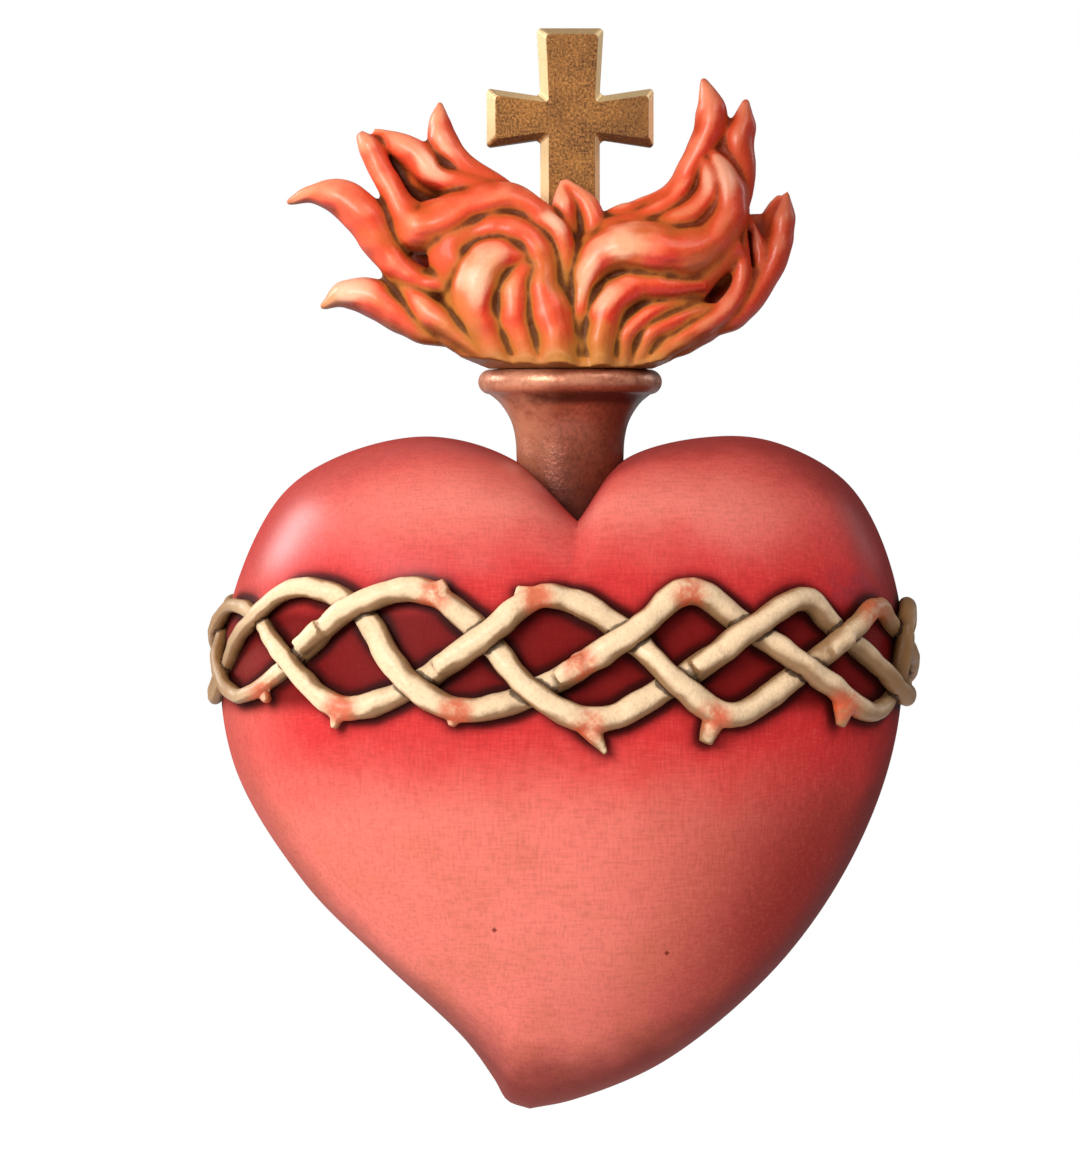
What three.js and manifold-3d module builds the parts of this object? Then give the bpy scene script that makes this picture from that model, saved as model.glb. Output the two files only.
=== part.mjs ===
// A carved and painted sacred heart that hangs on a wall: the heart, its crown of thorns, the flared neck
// that rises from the cleft between the lobes, the flames on the neck's rim and the cross in the flames.
// Millimetres, +Z up, the front faces -Y. The origin is on the flat back, at the middle of the heart.
import * as THREE from "three";
import { mergeVertices } from "three/addons/utils/BufferGeometryUtils.js";
import Module from "manifold-3d";

const wasm = await Module();
wasm.setup();

// Sizes that can be set by themselves
const gap = 0.3; // between pieces that rest on or in each other
const heartHeight = 124.6; // from the tip to the top of the lobes
const heartDepth = 56; // from the wall to the front of the heart
const rimDepth = 16; // from the wall to the heart's widest outline
const nailHoleRadius = 4;
const nailHoleDepth = 14;
const nailHoleHeight = 13; // above the origin
const stemRadius = 2.4; // of the thorny stems at the front
const stemEndRadius = 2; // of the same stems round the sides
const stemSink = 0.3; // how deep a stem is bedded in the heart
const crownWallGap = 1; // from the wall to the ends of the crown
const thornRadius = 1.9;
const neckHeight = 28.2; // from the bottom of the cleft to the top of the rim
const neckFoot = 2.8; // how far the neck runs down past the bottom of the cleft, between the lobes
const neckFootRadius = 8.9;
const neckWaistRadius = 9.9;
const neckWaistDrop = 17; // from the top of the rim to the narrowest part
const neckShift = 1.5; // to the right of the origin
const rimRadius = 17.2;
const rimThickness = 4.6;
const flameHeight = 53.5; // from the rim to the tallest tip
const flameWallGap = 3;
const crossHeight = 44.5; // from the foot to the top
const crossSpan = 30.9; // from end to end of the side arms
const crossThickness = 7;
const crossBevel = 1.2;
const crossTopWidth = 12.4;
const crossShaftWidth = 11.1;
const crossArmEnd = 11; // height of a side arm at its end
const crossArmInner = 8.2; // height of a side arm at the shaft
const crossArmDrop = 16.6; // from the top of the cross to the middle of the side arms
const crossFoot = 10.3; // depth to which the foot is set in the flames

// The heart's outline from the cleft over each lobe to the tip, in hundredths of its height
const rightOutline = [
  [2.3, 25.0], [9.2, 34.2], [24.9, 37.8], [34.6, 35.8], [43.5, 29.6], [49.9, 14.6], [50.1, -4.5],
  [44.5, -22.3], [32.9, -40.1], [15.6, -55.0], [1.9, -60.9], [-4.8, -62.3],
];
const leftOutline = [
  [2.3, 25.0], [-6.8, 34.0], [-19.6, 37.7], [-33.8, 34.5], [-42.5, 28.0], [-50.3, 8.0], [-49.0, -10.4],
  [-38.6, -28.3], [-27.0, -40.1], [-14.4, -52.0], [-10.0, -58.0], [-8.1, -61.1], [-4.8, -62.3],
];
const backShare = 0.84; // the flat back, as a share of the widest outline
const frontFullness = 2.5; // higher makes the front flatter and its edge rounder
const softening = 40; // degrees over which the outline is evened out towards the middle of the heart

// The turns of the braid from left to right: the angle round the heart and the height of each top, then
// of the bottom that follows it. Angles are in degrees from the front, heights in hundredths of the heart's
const braidTurns = [
  [-132, 13.2, -127, -1.5], [-115, 13.2, -109, -1.5], [-97, 13.0, -91, -1.0], [-79, 12.7, -74, -0.4],
  [-61, 15.0, -49.5, -2.2], [-33.5, 14.4, -24.5, -2.4], [-6, 13.7, 8, -4.4], [31, 14.6, 37.5, -3.6],
  [56, 13.1, 68, -3.0], [72.5, 11.8, 85, -0.8], [88, 12.6, 103, -1.2], [106, 13.0, 121, -1.5],
  [124, 13.0, 139, -1.5],
];
const upperCrossing = [0.5, 0.27]; // shares: along to the next top, and down to the bottoms
const lowerCrossing = [0.55, 0.3]; // shares: along to the next bottom, and up to the tops
const weaveShare = 0.55; // how far a stem rises or sinks at a crossing, as a share of its radius
const stemSlimming = [50, 88]; // the angles from the front between which the stems grow thinner
// Each thorn stands on the top (1) or the bottom (-1) of a turn, and leans by so many degrees round the
// heart. Its length counts in stem radii
const thorns = [
  { turn: 4, end: -1, lean: -2, length: 1.2 }, { turn: 5, end: -1, lean: -1.5, length: 1.2 },
  { turn: 6, end: -1, lean: 2, length: 2.5 }, { turn: 7, end: -1, lean: -3, length: 2.1 },
  { turn: 8, end: -1, lean: -5, length: 1.2 }, { turn: 5, end: 1, lean: 5, length: 0.8 },
  { turn: 6, end: 1, lean: -5, length: 0.8 }, { turn: 7, end: 1, lean: 0.5, length: 0.8 },
  { turn: 9, end: 1, lean: 1, length: 0.8 },
];
const thornRoot = 0.5; // from the middle of the stem to where a thorn's length starts, in stem radii
const thornTaper = 0.33; // the tip's radius as a share of the root's

// The neck's flare turns outwards at these shares of the waist's drop, waist's radius and rim's thickness
const flareStart = 0.7;
const flareBend = [1.1, 1.6];

// The licks of flame. One that has a root springs from the rim at that share of its radius to the right.
// Each point of its run to the tip says how far it lies to the right of and above the middle of the
// rim, and half the lick's width there. front says how far the lick lies in front of the middle of the
// rim, at the first point and at the tip. All of these are hundredths of the flames' height
const licks = [
  { root: -0.8, front: [16, 5],
    run: [[-40, 6, 3.7], [-51, 12, 4.9], [-60, 19, 6.4], [-68, 24, 6.9], [-78, 25, 5], [-86, 21, 0.8]] },
  { root: -0.65, front: [20, 10], run: [[-40, 13, 3.5], [-48, 18, 4], [-55, 26, 3.5], [-65, 34, 0.8]] },
  { root: -0.45, front: [16, 4],
    run: [[-38, 27, 5], [-53, 30, 5.2], [-62, 38, 6], [-70, 51, 7.5], [-80, 59, 6.4], [-89, 60, 3.6],
      [-98, 57, 0.8]] },
  { front: [18, 6],
    run: [[-8, 49, 6], [-20, 57, 6.5], [-33, 55, 7.8], [-43, 50, 9], [-52, 48, 9], [-58, 54, 6.2],
      [-62, 62, 4.5], [-66, 69, 4.3], [-69, 76, 4.2], [-73, 81, 1.6]] },
  { front: [14, 4],
    run: [[-10, 50, 5], [-22, 57, 5.5], [-35, 62, 5], [-46, 66, 5.2], [-53, 73, 5.6], [-59, 77, 4.5],
      [-68, 82, 1.2]] },
  { front: [14, 2],
    run: [[-4, 42, 4.5], [-13, 51, 4.2], [-20, 58, 4.2], [-28, 64, 4.2], [-38, 70, 4.8], [-44, 78, 5.4],
      [-45, 85, 4], [-45, 92, 0.8]] },
  { root: -0.65, front: [22, 20],
    run: [[-29, 11, 4.5], [-34, 20, 5], [-33, 30, 5.8], [-27, 37, 5.8], [-17, 38, 4]] },
  { root: -0.5, front: [24, 21], run: [[-20, 11, 4.2], [-22, 20, 5], [-21, 30, 5.2], [-14, 38, 4]] },
  { root: -0.27, front: [25, 21], run: [[-11, 12, 4], [-12, 22, 4.6], [-9, 34, 4.2]] },
  { root: -0.1, front: [23, 14],
    run: [[-6, 20, 3.5], [-6, 33, 4], [-10, 42, 4.6], [-20, 47, 4.8], [-30, 46, 4.4], [-39, 40, 2]] },
  { root: 0, front: [23, 14],
    run: [[-3, 16, 3.4], [-1, 29, 3.4], [-2, 41, 4.2], [-10, 50, 4.2], [-20, 54, 3.4], [-31, 53, 3],
      [-39, 46, 1.5]] },
  { front: [15, 11], run: [[3, 37, 1.5], [-1, 46, 4.6], [-2, 55, 4.4], [-3, 65, 0.8]] },
  { front: [15, 11], run: [[4, 39, 2], [8, 48, 4.2], [6, 56, 3.8], [-2, 65, 0.8]] },
  { root: 0.17, front: [24, 7],
    run: [[3, 12, 3.2], [4, 24, 3.6], [7, 34, 5.2], [16, 40, 7.5], [27, 41, 7.9], [38, 40, 7.2],
      [48, 43, 6.3], [54, 51, 5.4], [55, 60, 4.6], [52, 69, 3.2], [48, 75, 1]] },
  { front: [18, 6],
    run: [[16, 45, 2.4], [31, 48, 3.4], [42, 53, 3.9], [48, 60, 3.8], [48, 68, 3], [43, 75, 0.9]] },
  { front: [10, 0],
    run: [[4, 44, 3.5], [16, 51, 4.6], [28, 54, 4.5], [37, 61, 4.6], [43, 72, 4.8], [48, 81, 5.6],
      [49, 88, 5.6], [48, 94, 3.6], [46, 100, 0.8]] },
  { front: [6, 0],
    run: [[46, 35, 3.5], [54, 46, 3.7], [60, 57, 2.6], [60, 66, 4.4], [58, 77, 6], [60, 85, 4.6],
      [61, 93, 0.9]] },
  { root: 0.8, front: [14, 0],
    run: [[44, 10, 3.6], [57, 17, 4.2], [66, 28, 4.4], [72, 41, 4.4], [74, 52, 4], [75, 61, 0.9]] },
  { front: [8, 6], run: [[55, 18, 3.5], [63, 27, 4], [66, 35, 3.2], [65, 43, 2.4], [62, 52, 0.8]] },
  { root: 0.7, front: [18, 8], run: [[42, 12, 3.6], [53, 19, 3.7], [59, 29, 3.5], [59, 41, 3], [60, 53, 1]] },
  { root: 0.27, front: [25, 17],
    run: [[8, 12, 3.3], [12, 22, 4], [21, 28, 4.4], [33, 28, 3.8], [46, 28, 1.2]] },
  { root: 0.53, front: [23, 16], run: [[23, 11, 2.8], [31, 17, 3.2], [40, 19, 2.6], [50, 20, 0.9]] },
  { root: 0.66, front: [21, 14], run: [[29, 8, 2.8], [38, 12, 3], [48, 15, 2.4], [54, 22, 0.9]] },
];
// Broad plain licks that back the others
const backLicks = [
  { root: -0.5, front: [-4, 0], run: [[-30, 14, 7], [-46, 22, 7], [-60, 28, 4]] },
  { root: -0.3, front: [-2, 2], run: [[-30, 32, 13], [-50, 50, 12], [-60, 68, 7], [-66, 78, 3]] },
  { root: 0, front: [0, 2], run: [[-3, 20, 18], [-2, 36, 17], [0, 47, 15], [0, 54, 9]] },
  { root: 0.3, front: [-2, 0], run: [[24, 26, 13], [44, 42, 13], [48, 60, 9], [54, 78, 6]] },
  { root: 0.5, front: [-4, 0], run: [[34, 14, 7], [54, 30, 9], [65, 42, 7], [68, 52, 3]] },
];
const lickDepth = 1.25; // a lick's depth as a share of its width
const backLickDepth = 0.75;
const rootReach = 0.86; // from the neck's axis to the roots, as a share of the rim's radius
const backRootReach = 0.2; // how far forward the roots of the back licks stand, as a share of the others'
const rootShare = 0.8; // a root's half width, as a share of the half width at the first point
const rootSink = 0.04; // how far the roots start below the rim's top, as a share of the flames' height
const crossSeat = 0.535; // where the cross comes out of the flames, as a share of their height

const mix = THREE.MathUtils.lerp;
const radians = THREE.MathUtils.degToRad;

// A closed mesh as a solid that can be joined and cut, with its faces pointing out
function solidOf(geometry) {
  const bare = geometry.index ? geometry.toNonIndexed() : geometry.clone();
  for (const name of Object.keys(bare.attributes)) if (name !== "position") bare.deleteAttribute(name);
  const merged = mergeVertices(bare, 1e-3);
  const solid = new wasm.Manifold(new wasm.Mesh({
    numProp: 3,
    vertProperties: merged.attributes.position.array,
    triVerts: new Uint32Array(merged.index.array),
  }));
  return solid.volume() > 0 ? solid : solidOf(turnedOut(bare));
}

// The same faces with each one's corners in the opposite order
function turnedOut(geometry) {
  const flipped = geometry.clone();
  const place = flipped.attributes.position;
  for (let i = 0; i < place.count; i += 3) {
    const first = new THREE.Vector3().fromBufferAttribute(place, i);
    const last = new THREE.Vector3().fromBufferAttribute(place, i + 2);
    place.setXYZ(i, last.x, last.y, last.z);
    place.setXYZ(i + 2, first.x, first.y, first.z);
  }
  return flipped;
}

function geometryOf(solid) {
  const mesh = solid.getMesh();
  const geometry = new THREE.BufferGeometry();
  geometry.setAttribute("position", new THREE.BufferAttribute(mesh.vertProperties, 3));
  geometry.setIndex(new THREE.BufferAttribute(mesh.triVerts, 1));
  geometry.computeVertexNormals();
  return geometry;
}

function joined(solids) {
  return solids.reduce((whole, solid) => whole.add(solid));
}

// Licks that lean on each other can shut in a pocket of air, where the carver's block is whole
function withoutPockets(solid) {
  return joined(solid.decompose().filter((shell) => shell.volume() > 0));
}

function smoothCurve(points) {
  return new THREE.CatmullRomCurve3(points, false, "centripetal");
}

// A number without its last digits, so that both edges of a mesh's seam say the same
function exact(value) {
  return Math.round(value * 1e6) / 1e6;
}

// A rod along a curve. half gives its half width and half depth at a share of its length, and depthwise
// is the direction in which the half depth is measured there
function rod(curve, steps, half, depthwise) {
  const sides = 5;
  const widestCorner = Math.sin((2 * Math.PI) / sides);
  const geometry = new THREE.CylinderGeometry(1, 1, 1, sides, steps);
  const place = geometry.attributes.position;
  for (let i = 0; i < place.count; i++) {
    const [x, y, z] = place.array.slice(3 * i, 3 * i + 3).map(exact);
    const along = 0.5 - y;
    const centre = curve.getPoint(along);
    const heading = curve.getTangent(along);
    const across = new THREE.Vector3().crossVectors(heading, depthwise(centre)).normalize();
    const deep = new THREE.Vector3().crossVectors(across, heading);
    const [halfWidth, halfDepth] = half(along, centre);
    centre.addScaledVector(across, (x / widestCorner) * halfWidth);
    centre.addScaledVector(deep, z * halfDepth);
    place.setXYZ(i, centre.x, centre.y, centre.z);
  }
  return solidOf(geometry);
}

// A block wide enough to cut off the whole of any piece, with the middle of one face at the origin
function cutter(x, y, z) {
  const size = 2 * (heartHeight + heartDepth + neckHeight + flameHeight);
  return new THREE.BoxGeometry(size, size, size).translate((x * size) / 2, (y * size) / 2, (z * size) / 2);
}

// Everything on the wall's side of a plane that far in front of it
function wallBlock(distance) {
  return solidOf(cutter(0, 1, 0).translate(0, -distance, 0));
}

// The heart: its widest outline, drawn in towards the middle of the front and of the back
const outlineCurves = [rightOutline, leftOutline].map((side) =>
  smoothCurve(side.map(([x, z]) => new THREE.Vector3(x, 0, z).multiplyScalar(heartHeight / 100))));
const cleft = outlineCurves[0].getPoint(0);

function outlinePoint(turn) {
  const [right, left] = outlineCurves;
  return turn < 0.5 ? right.getPointAt(2 * turn) : left.getPointAt(2 - 2 * turn);
}

function angleOf(point) {
  return Math.atan2(point.x, point.z);
}

const outlineSamples = 360;
const outlinePolar = [...Array(outlineSamples).keys()]
  .map((i) => outlinePoint(i / outlineSamples))
  .map((point) => ({ angle: angleOf(point), radius: point.length() }))
  .sort((a, b) => a.angle - b.angle);

function outlineRadius(angle) {
  const turned = Math.atan2(Math.sin(angle), Math.cos(angle));
  const next = outlinePolar.find((entry) => entry.angle > turned);
  return (next ?? outlinePolar[0]).radius;
}

function softRadius(angle) {
  const samples = 24;
  const reach = radians(softening);
  let sum = 0;
  for (let i = 0; i < samples; i++) sum += outlineRadius(angle + reach * ((2 * i + 1) / samples - 1));
  return sum / samples;
}

// Rings of the heart's surface from the middle of the back to the middle of the front: how much of the
// widest outline each one has, and how far from the wall it is
function heartRings(sideRings, frontRings) {
  const rings = [[0, 0]];
  for (let i = 0; i <= sideRings; i++) {
    const bend = (i / sideRings) * (Math.PI / 2);
    rings.push([mix(backShare, 1, Math.sin(bend)), rimDepth * (1 - Math.cos(bend))]);
  }
  for (let i = 1; i <= frontRings; i++) {
    const bend = (i / frontRings) * (Math.PI / 2);
    const share = i === frontRings ? 0 : Math.cos(bend) ** (2 / frontFullness);
    rings.push([share, mix(rimDepth, heartDepth, Math.sin(bend))]);
  }
  return rings;
}

// A sphere whose rings take the places of the heart's
function heartSolid(grow) {
  const around = 50;
  const rings = heartRings(3, 9);
  const geometry = new THREE.SphereGeometry(1, around, rings.length - 1);
  const place = geometry.attributes.position;
  for (let i = 0; i < place.count; i++) {
    const rim = outlinePoint(((i % (around + 1)) % around) / around);
    const [share, depth] = rings[Math.floor(i / (around + 1))];
    const radius = share * mix(softRadius(angleOf(rim)), rim.length(), share ** 2);
    const outwards = (radius * (1 + grow / rim.length())) / rim.length();
    const forwards = depth - grow * (1 - (2 * depth) / heartDepth);
    place.setXYZ(i, rim.x * outwards, -forwards, rim.z * outwards);
  }
  return solidOf(geometry);
}

const heartBody = heartSolid(0);
const heartCutter = heartSolid(gap);

function makeHeart() {
  const hole = new THREE.CylinderGeometry(nailHoleRadius, nailHoleRadius, 2 * nailHoleDepth, 16);
  hole.translate(0, 0, nailHoleHeight);
  return heartBody.subtract(solidOf(hole));
}

// The crown of thorns: three stems that weave round the heart, planted on its surface
const bothSides = new THREE.MeshBasicMaterial({ side: THREE.DoubleSide });
const heartSurface = new THREE.Mesh(geometryOf(heartBody), bothSides);

function onHeart(degrees, height, lift) {
  const outwards = new THREE.Vector3(Math.sin(radians(degrees)), -Math.cos(radians(degrees)), 0);
  const axis = new THREE.Vector3(0, -rimDepth, (height * heartHeight) / 100);
  const hit = new THREE.Raycaster(axis, outwards).intersectObject(heartSurface)[0];
  return hit.point.addScaledVector(outwards, lift);
}

function outwardsAt(point) {
  return new THREE.Vector3(point.x, point.y + rimDepth, 0).normalize();
}

function degreesAt(point) {
  return THREE.MathUtils.radToDeg(Math.atan2(point.x, -point.y - rimDepth));
}

function stemRadiusAt(degrees) {
  return mix(stemRadius, stemEndRadius, THREE.MathUtils.smoothstep(Math.abs(degrees), ...stemSlimming));
}

// How far from the heart a stem's middle lies: weave is 1 where it crosses over and -1 where it goes under
function stemLift(degrees, weave) {
  return stemRadiusAt(degrees) * (1 + weave * weaveShare) - stemSink;
}

const top = 0; // where a turn holds its top and its bottom
const bottom = 2;

// The point between two turns that lies along of the way from one end of the first turn to the same
// end of the next, and towards of the way to the other ends
function crossing(turn, end, [along, towards]) {
  const [before, after] = [braidTurns[turn - 1], braidTurns[turn]];
  if (!before || !after) return undefined;
  const other = top + bottom - end;
  const from = mix(before[end + 1], after[end + 1], along);
  const to = mix(before[other + 1], after[other + 1], along);
  return [mix(before[end], after[end], along), mix(from, to, towards)];
}

// One stem goes from the top of a turn down to the bottom of the next and up again to the top of the
// third. It passes under at the first crossing of each slope and over at the second
function stemPoints(start) {
  const points = [];
  const pass = (place, weave) => place && points.push(new THREE.Vector3(...place, weave));
  const turnEnd = (turn, end) => braidTurns[turn]?.slice(end, end + 2);
  for (let turn = start; turn < braidTurns.length; turn += 3) {
    pass(turnEnd(turn, top), 0);
    pass(crossing(turn + 1, top, upperCrossing), -1);
    pass(crossing(turn + 1, bottom, lowerCrossing), 1);
    pass(turnEnd(turn + 1, bottom), 0);
    pass(crossing(turn + 2, bottom, lowerCrossing), -1);
    pass(crossing(turn + 3, top, upperCrossing), 1);
  }
  return points;
}

function makeStem(start) {
  const samples = 140;
  const stepLength = 3 * stemRadius;
  const route = smoothCurve(stemPoints(start)).getPoints(samples);
  const curve = smoothCurve(route.map(({ x, y, z }) => onHeart(x, y, stemLift(x, z))));
  const half = (along, centre) => Array(2).fill(stemRadiusAt(degreesAt(centre)));
  return rod(curve, Math.round(curve.getLength() / stepLength), half, outwardsAt);
}

function makeThorn({ turn, end, lean, length }) {
  const place = end > 0 ? top : bottom;
  const [degrees, height] = [braidTurns[turn][place], braidTurns[turn][place + 1]];
  const rise = (end * (thornRoot + length) * stemRadius * 100) / heartHeight;
  const curve = smoothCurve([
    onHeart(degrees, height, stemLift(degrees, 0)),
    onHeart(degrees + lean, height + rise, stemLift(degrees, 0)),
  ]);
  const half = (along) => Array(2).fill(thornRadius * mix(1, thornTaper, along));
  return rod(curve, 1, half, outwardsAt);
}

function makeCrown() {
  const stems = [-2, -1, 0].map(makeStem);
  return joined([...stems, ...thorns.map(makeThorn)]).subtract(heartCutter).subtract(wallBlock(crownWallGap));
}

// The neck stands in the cleft, its rim just clear of the wall
const neckAxis = new THREE.Vector2(neckShift, -rimRadius - gap);
const rimTop = cleft.z + neckHeight;

function makeNeck() {
  const lip = rimThickness / 2;
  const foot = -(neckHeight + neckFoot);
  const profile = new THREE.Path();
  profile.moveTo(0, foot);
  profile.lineTo(neckFootRadius, foot);
  profile.lineTo(neckWaistRadius, -neckWaistDrop);
  profile.bezierCurveTo(neckWaistRadius, -neckWaistDrop * flareStart,
    neckWaistRadius * flareBend[0], -rimThickness * flareBend[1], rimRadius - lip, -rimThickness);
  profile.absarc(rimRadius - lip, -lip, lip, -Math.PI / 2, Math.PI / 2, false);
  profile.lineTo(0, 0);
  const turned = new THREE.LatheGeometry(profile.getPoints(4), 22).rotateX(Math.PI / 2);
  return solidOf(turned.translate(neckAxis.x, neckAxis.y, rimTop)).subtract(heartCutter);
}

// The cross, grown on all sides where it serves to cut its own seat
const flameBase = new THREE.Vector3(neckAxis.x, neckAxis.y, rimTop + gap);
const crossBase = flameBase.z + crossSeat * flameHeight - crossFoot;

function crossSolid(grow) {
  const half = crossShaftWidth / 2;
  const arm = crossHeight - crossArmDrop;
  const rightSide = [
    [half, 0], [half, arm - crossArmInner / 2],
    [crossSpan / 2, arm - crossArmEnd / 2], [crossSpan / 2, arm + crossArmEnd / 2],
    [half, arm + crossArmInner / 2], [crossTopWidth / 2, crossHeight],
  ];
  const leftSide = rightSide.map(([x, z]) => [-x, z]).reverse();
  const shape = new THREE.Shape([...rightSide, ...leftSide].map(([x, z]) => new THREE.Vector2(x, z)));
  const geometry = new THREE.ExtrudeGeometry(shape, {
    depth: crossThickness + 2 * grow - 2 * crossBevel,
    bevelSize: crossBevel, bevelOffset: grow - crossBevel, bevelThickness: crossBevel, bevelSegments: 1,
  });
  geometry.translate(0, 0, crossBevel - grow - crossThickness / 2).rotateX(Math.PI / 2);
  return solidOf(geometry.translate(neckAxis.x, neckAxis.y, crossBase));
}

// The flames, rooted on the rim
function flamePoint(right, up, front) {
  return new THREE.Vector3(right, -front, up).multiplyScalar(flameHeight / 100).add(flameBase);
}

function makeLick({ root, front, run }, depth, reach) {
  const points = run.map(([right, up], i) => flamePoint(right, up, mix(...front, i / (run.length - 1))));
  const halves = run.map(([, , half]) => (half * flameHeight) / 100);
  if (root !== undefined) {
    const rootRadius = rimRadius * rootReach;
    const forwards = reach * Math.sqrt(1 - root ** 2) * rootRadius;
    const start = new THREE.Vector3(root * rootRadius, -forwards, -rootSink * flameHeight);
    points.unshift(start.add(flameBase));
    halves.unshift(halves[0] * rootShare);
  }
  const widths = smoothCurve(halves.map((half, i) => new THREE.Vector3(i, half, 0)));
  const half = (along) => {
    const width = widths.getPoint(along).y;
    return [width, width * depth];
  };
  return rod(smoothCurve(points), points.length, half, () => new THREE.Vector3(0, -1, 0));
}

function makeFlames() {
  const fronts = licks.map((lick) => makeLick(lick, lickDepth, 1));
  const backs = backLicks.map((lick) => makeLick(lick, backLickDepth, backRootReach));
  const below = solidOf(cutter(0, 0, -1).translate(0, 0, flameBase.z));
  const carved = joined([...fronts, ...backs]).subtract(below).subtract(wallBlock(flameWallGap));
  return withoutPockets(carved.subtract(crossSolid(gap)));
}

function painted(name, solid, color, roughness, metalness) {
  const paint = new THREE.MeshStandardMaterial({ color, roughness, metalness });
  const mesh = new THREE.Mesh(geometryOf(solid), paint);
  mesh.name = name;
  return mesh;
}

const group = new THREE.Group();
group.add(
  painted("heart", makeHeart(), 0xd05553, 0.45, 0),
  painted("crown_of_thorns", makeCrown(), 0xd9c7a2, 0.6, 0),
  painted("neck", makeNeck(), 0x6b4438, 0.4, 0),
  painted("flames", makeFlames(), 0xe0624a, 0.5, 0),
  painted("cross", crossSolid(0), 0xb08a4e, 0.35, 0.8),
);
export default group;
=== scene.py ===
import math

import bmesh
import bpy
from bpy.props import FloatProperty, FloatVectorProperty, IntProperty, PointerProperty
from bpy.types import Operator, Panel, PropertyGroup
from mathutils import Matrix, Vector, kdtree, noise
from mathutils.bvhtree import BVHTree


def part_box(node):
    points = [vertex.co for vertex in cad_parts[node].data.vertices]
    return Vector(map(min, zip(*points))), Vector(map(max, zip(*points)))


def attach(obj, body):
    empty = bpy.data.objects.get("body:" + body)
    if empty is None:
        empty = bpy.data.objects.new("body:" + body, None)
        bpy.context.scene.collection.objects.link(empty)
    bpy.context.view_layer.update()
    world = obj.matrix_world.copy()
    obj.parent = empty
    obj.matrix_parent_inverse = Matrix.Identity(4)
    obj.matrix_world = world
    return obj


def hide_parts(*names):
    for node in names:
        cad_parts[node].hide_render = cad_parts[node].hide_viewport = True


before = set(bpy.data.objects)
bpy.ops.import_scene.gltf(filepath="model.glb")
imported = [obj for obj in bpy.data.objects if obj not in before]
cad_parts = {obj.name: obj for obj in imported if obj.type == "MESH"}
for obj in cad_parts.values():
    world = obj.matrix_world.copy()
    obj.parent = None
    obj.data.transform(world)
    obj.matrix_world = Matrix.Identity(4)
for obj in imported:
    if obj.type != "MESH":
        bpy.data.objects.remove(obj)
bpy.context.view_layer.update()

bl_info = {
    "name": "Carved Sacred Heart",
    "version": (1, 0, 0),
    "blender": (4, 5, 0),
    "location": "3D View > Sidebar > Sacred Heart",
    "description": "Carves and paints a sacred heart with its crown of thorns, neck, flames and cross",
    "category": "Add Mesh",
}

mm = 0.001

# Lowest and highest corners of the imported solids, and the neck's upright axis
heart_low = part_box("heart")[0]
crown_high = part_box("crown_of_thorns")[1]
neck_low, neck_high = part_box("neck")
flames_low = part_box("flames")[0]
cross_low, cross_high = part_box("cross")
axis_x = (neck_low.x + neck_high.x) / 2
axis_y = (neck_low.y + neck_high.y) / 2

# The heart's outline from the cleft over each lobe to the tip, in hundredths of its height
RIGHT_OUTLINE = [
    (2.3, 25.0), (9.2, 34.2), (24.9, 37.8), (34.6, 35.8), (43.5, 29.6), (49.9, 14.6), (50.1, -4.5),
    (44.5, -22.3), (32.9, -40.1), (15.6, -55.0), (1.9, -60.9), (-4.8, -62.3),
]
LEFT_OUTLINE = [
    (2.3, 25.0), (-6.8, 34.0), (-19.6, 37.7), (-33.8, 34.5), (-42.5, 28.0), (-50.3, 8.0), (-49.0, -10.4),
    (-38.6, -28.3), (-27.0, -40.1), (-14.4, -52.0), (-10.0, -58.0), (-8.1, -61.1), (-4.8, -62.3),
]
HEART_HEIGHT = heart_low.z * 100 / RIGHT_OUTLINE[-1][1]
# Two small dark dots in the heart's paint, to the right of and above the origin in millimetres
PAINT_DOTS = [(-12.4, -43.5), (19.1, -47.8)]
# Rings of the heart's mesh, from the nail hole over the flat back and the side to the middle of the front
HOLE_RINGS = 3
BACK_RINGS = 5
SIDE_RINGS = 22
FRONT_RINGS = 96

# The turns of the braid from left to right: the angle round the heart and the height of each top, then
# of the bottom that follows it. Angles are in degrees from the front, heights in hundredths of the heart's
BRAID_TURNS = [
    (-132, 13.2, -127, -1.5), (-115, 13.2, -109, -1.5), (-97, 13.0, -91, -1.0), (-80.5, 12.7, -74, -0.8),
    (-62, 15.2, -49.3, -2.4), (-34.5, 14.9, -24.5, -2.6), (-5, 14.0, 8, -4.1), (31, 14.8, 38.5, -3.4),
    (55.5, 13.6, 68.5, -3.2), (72.5, 12.2, 85, -0.8), (88, 12.6, 103, -1.2), (106, 13.0, 121, -1.5),
    (124, 13.0, 139, -1.5),
]
# Where the stems cross between a turn and the one before it: at the front each place is given one by one
UPPER_CROSSINGS = {
    4: (-71.3, 10.4), 5: (-48.6, 12.0), 6: (-19.2, 7.8), 7: (16.5, 8.5), 8: (43.5, 9.7), 9: (63.1, 8.8),
}
LOWER_CROSSINGS = {
    4: (-60.8, 4.8), 5: (-34.6, 1.4), 6: (-7.1, 0.0), 7: (27.0, 1.1), 8: (54.2, 3.0), 9: (78.0, -0.2),
}
UPPER_SHARES = (0.5, 0.27)  # along to the next top, and down to the bottoms
LOWER_SHARES = (0.55, 0.3)  # along to the next bottom, and up to the tops
# Half the width of the stems at angles from the front, in millimetres
STEM_WIDTHS = [
    (-140, 1.8), (-95, 1.5), (-82, 1.4), (-72, 1.55), (-60, 1.95), (-48, 2.25), (-30, 2.4), (30, 2.4),
    (50, 2.3), (62, 2.15), (74, 1.85), (90, 1.6), (140, 1.8),
]
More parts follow.
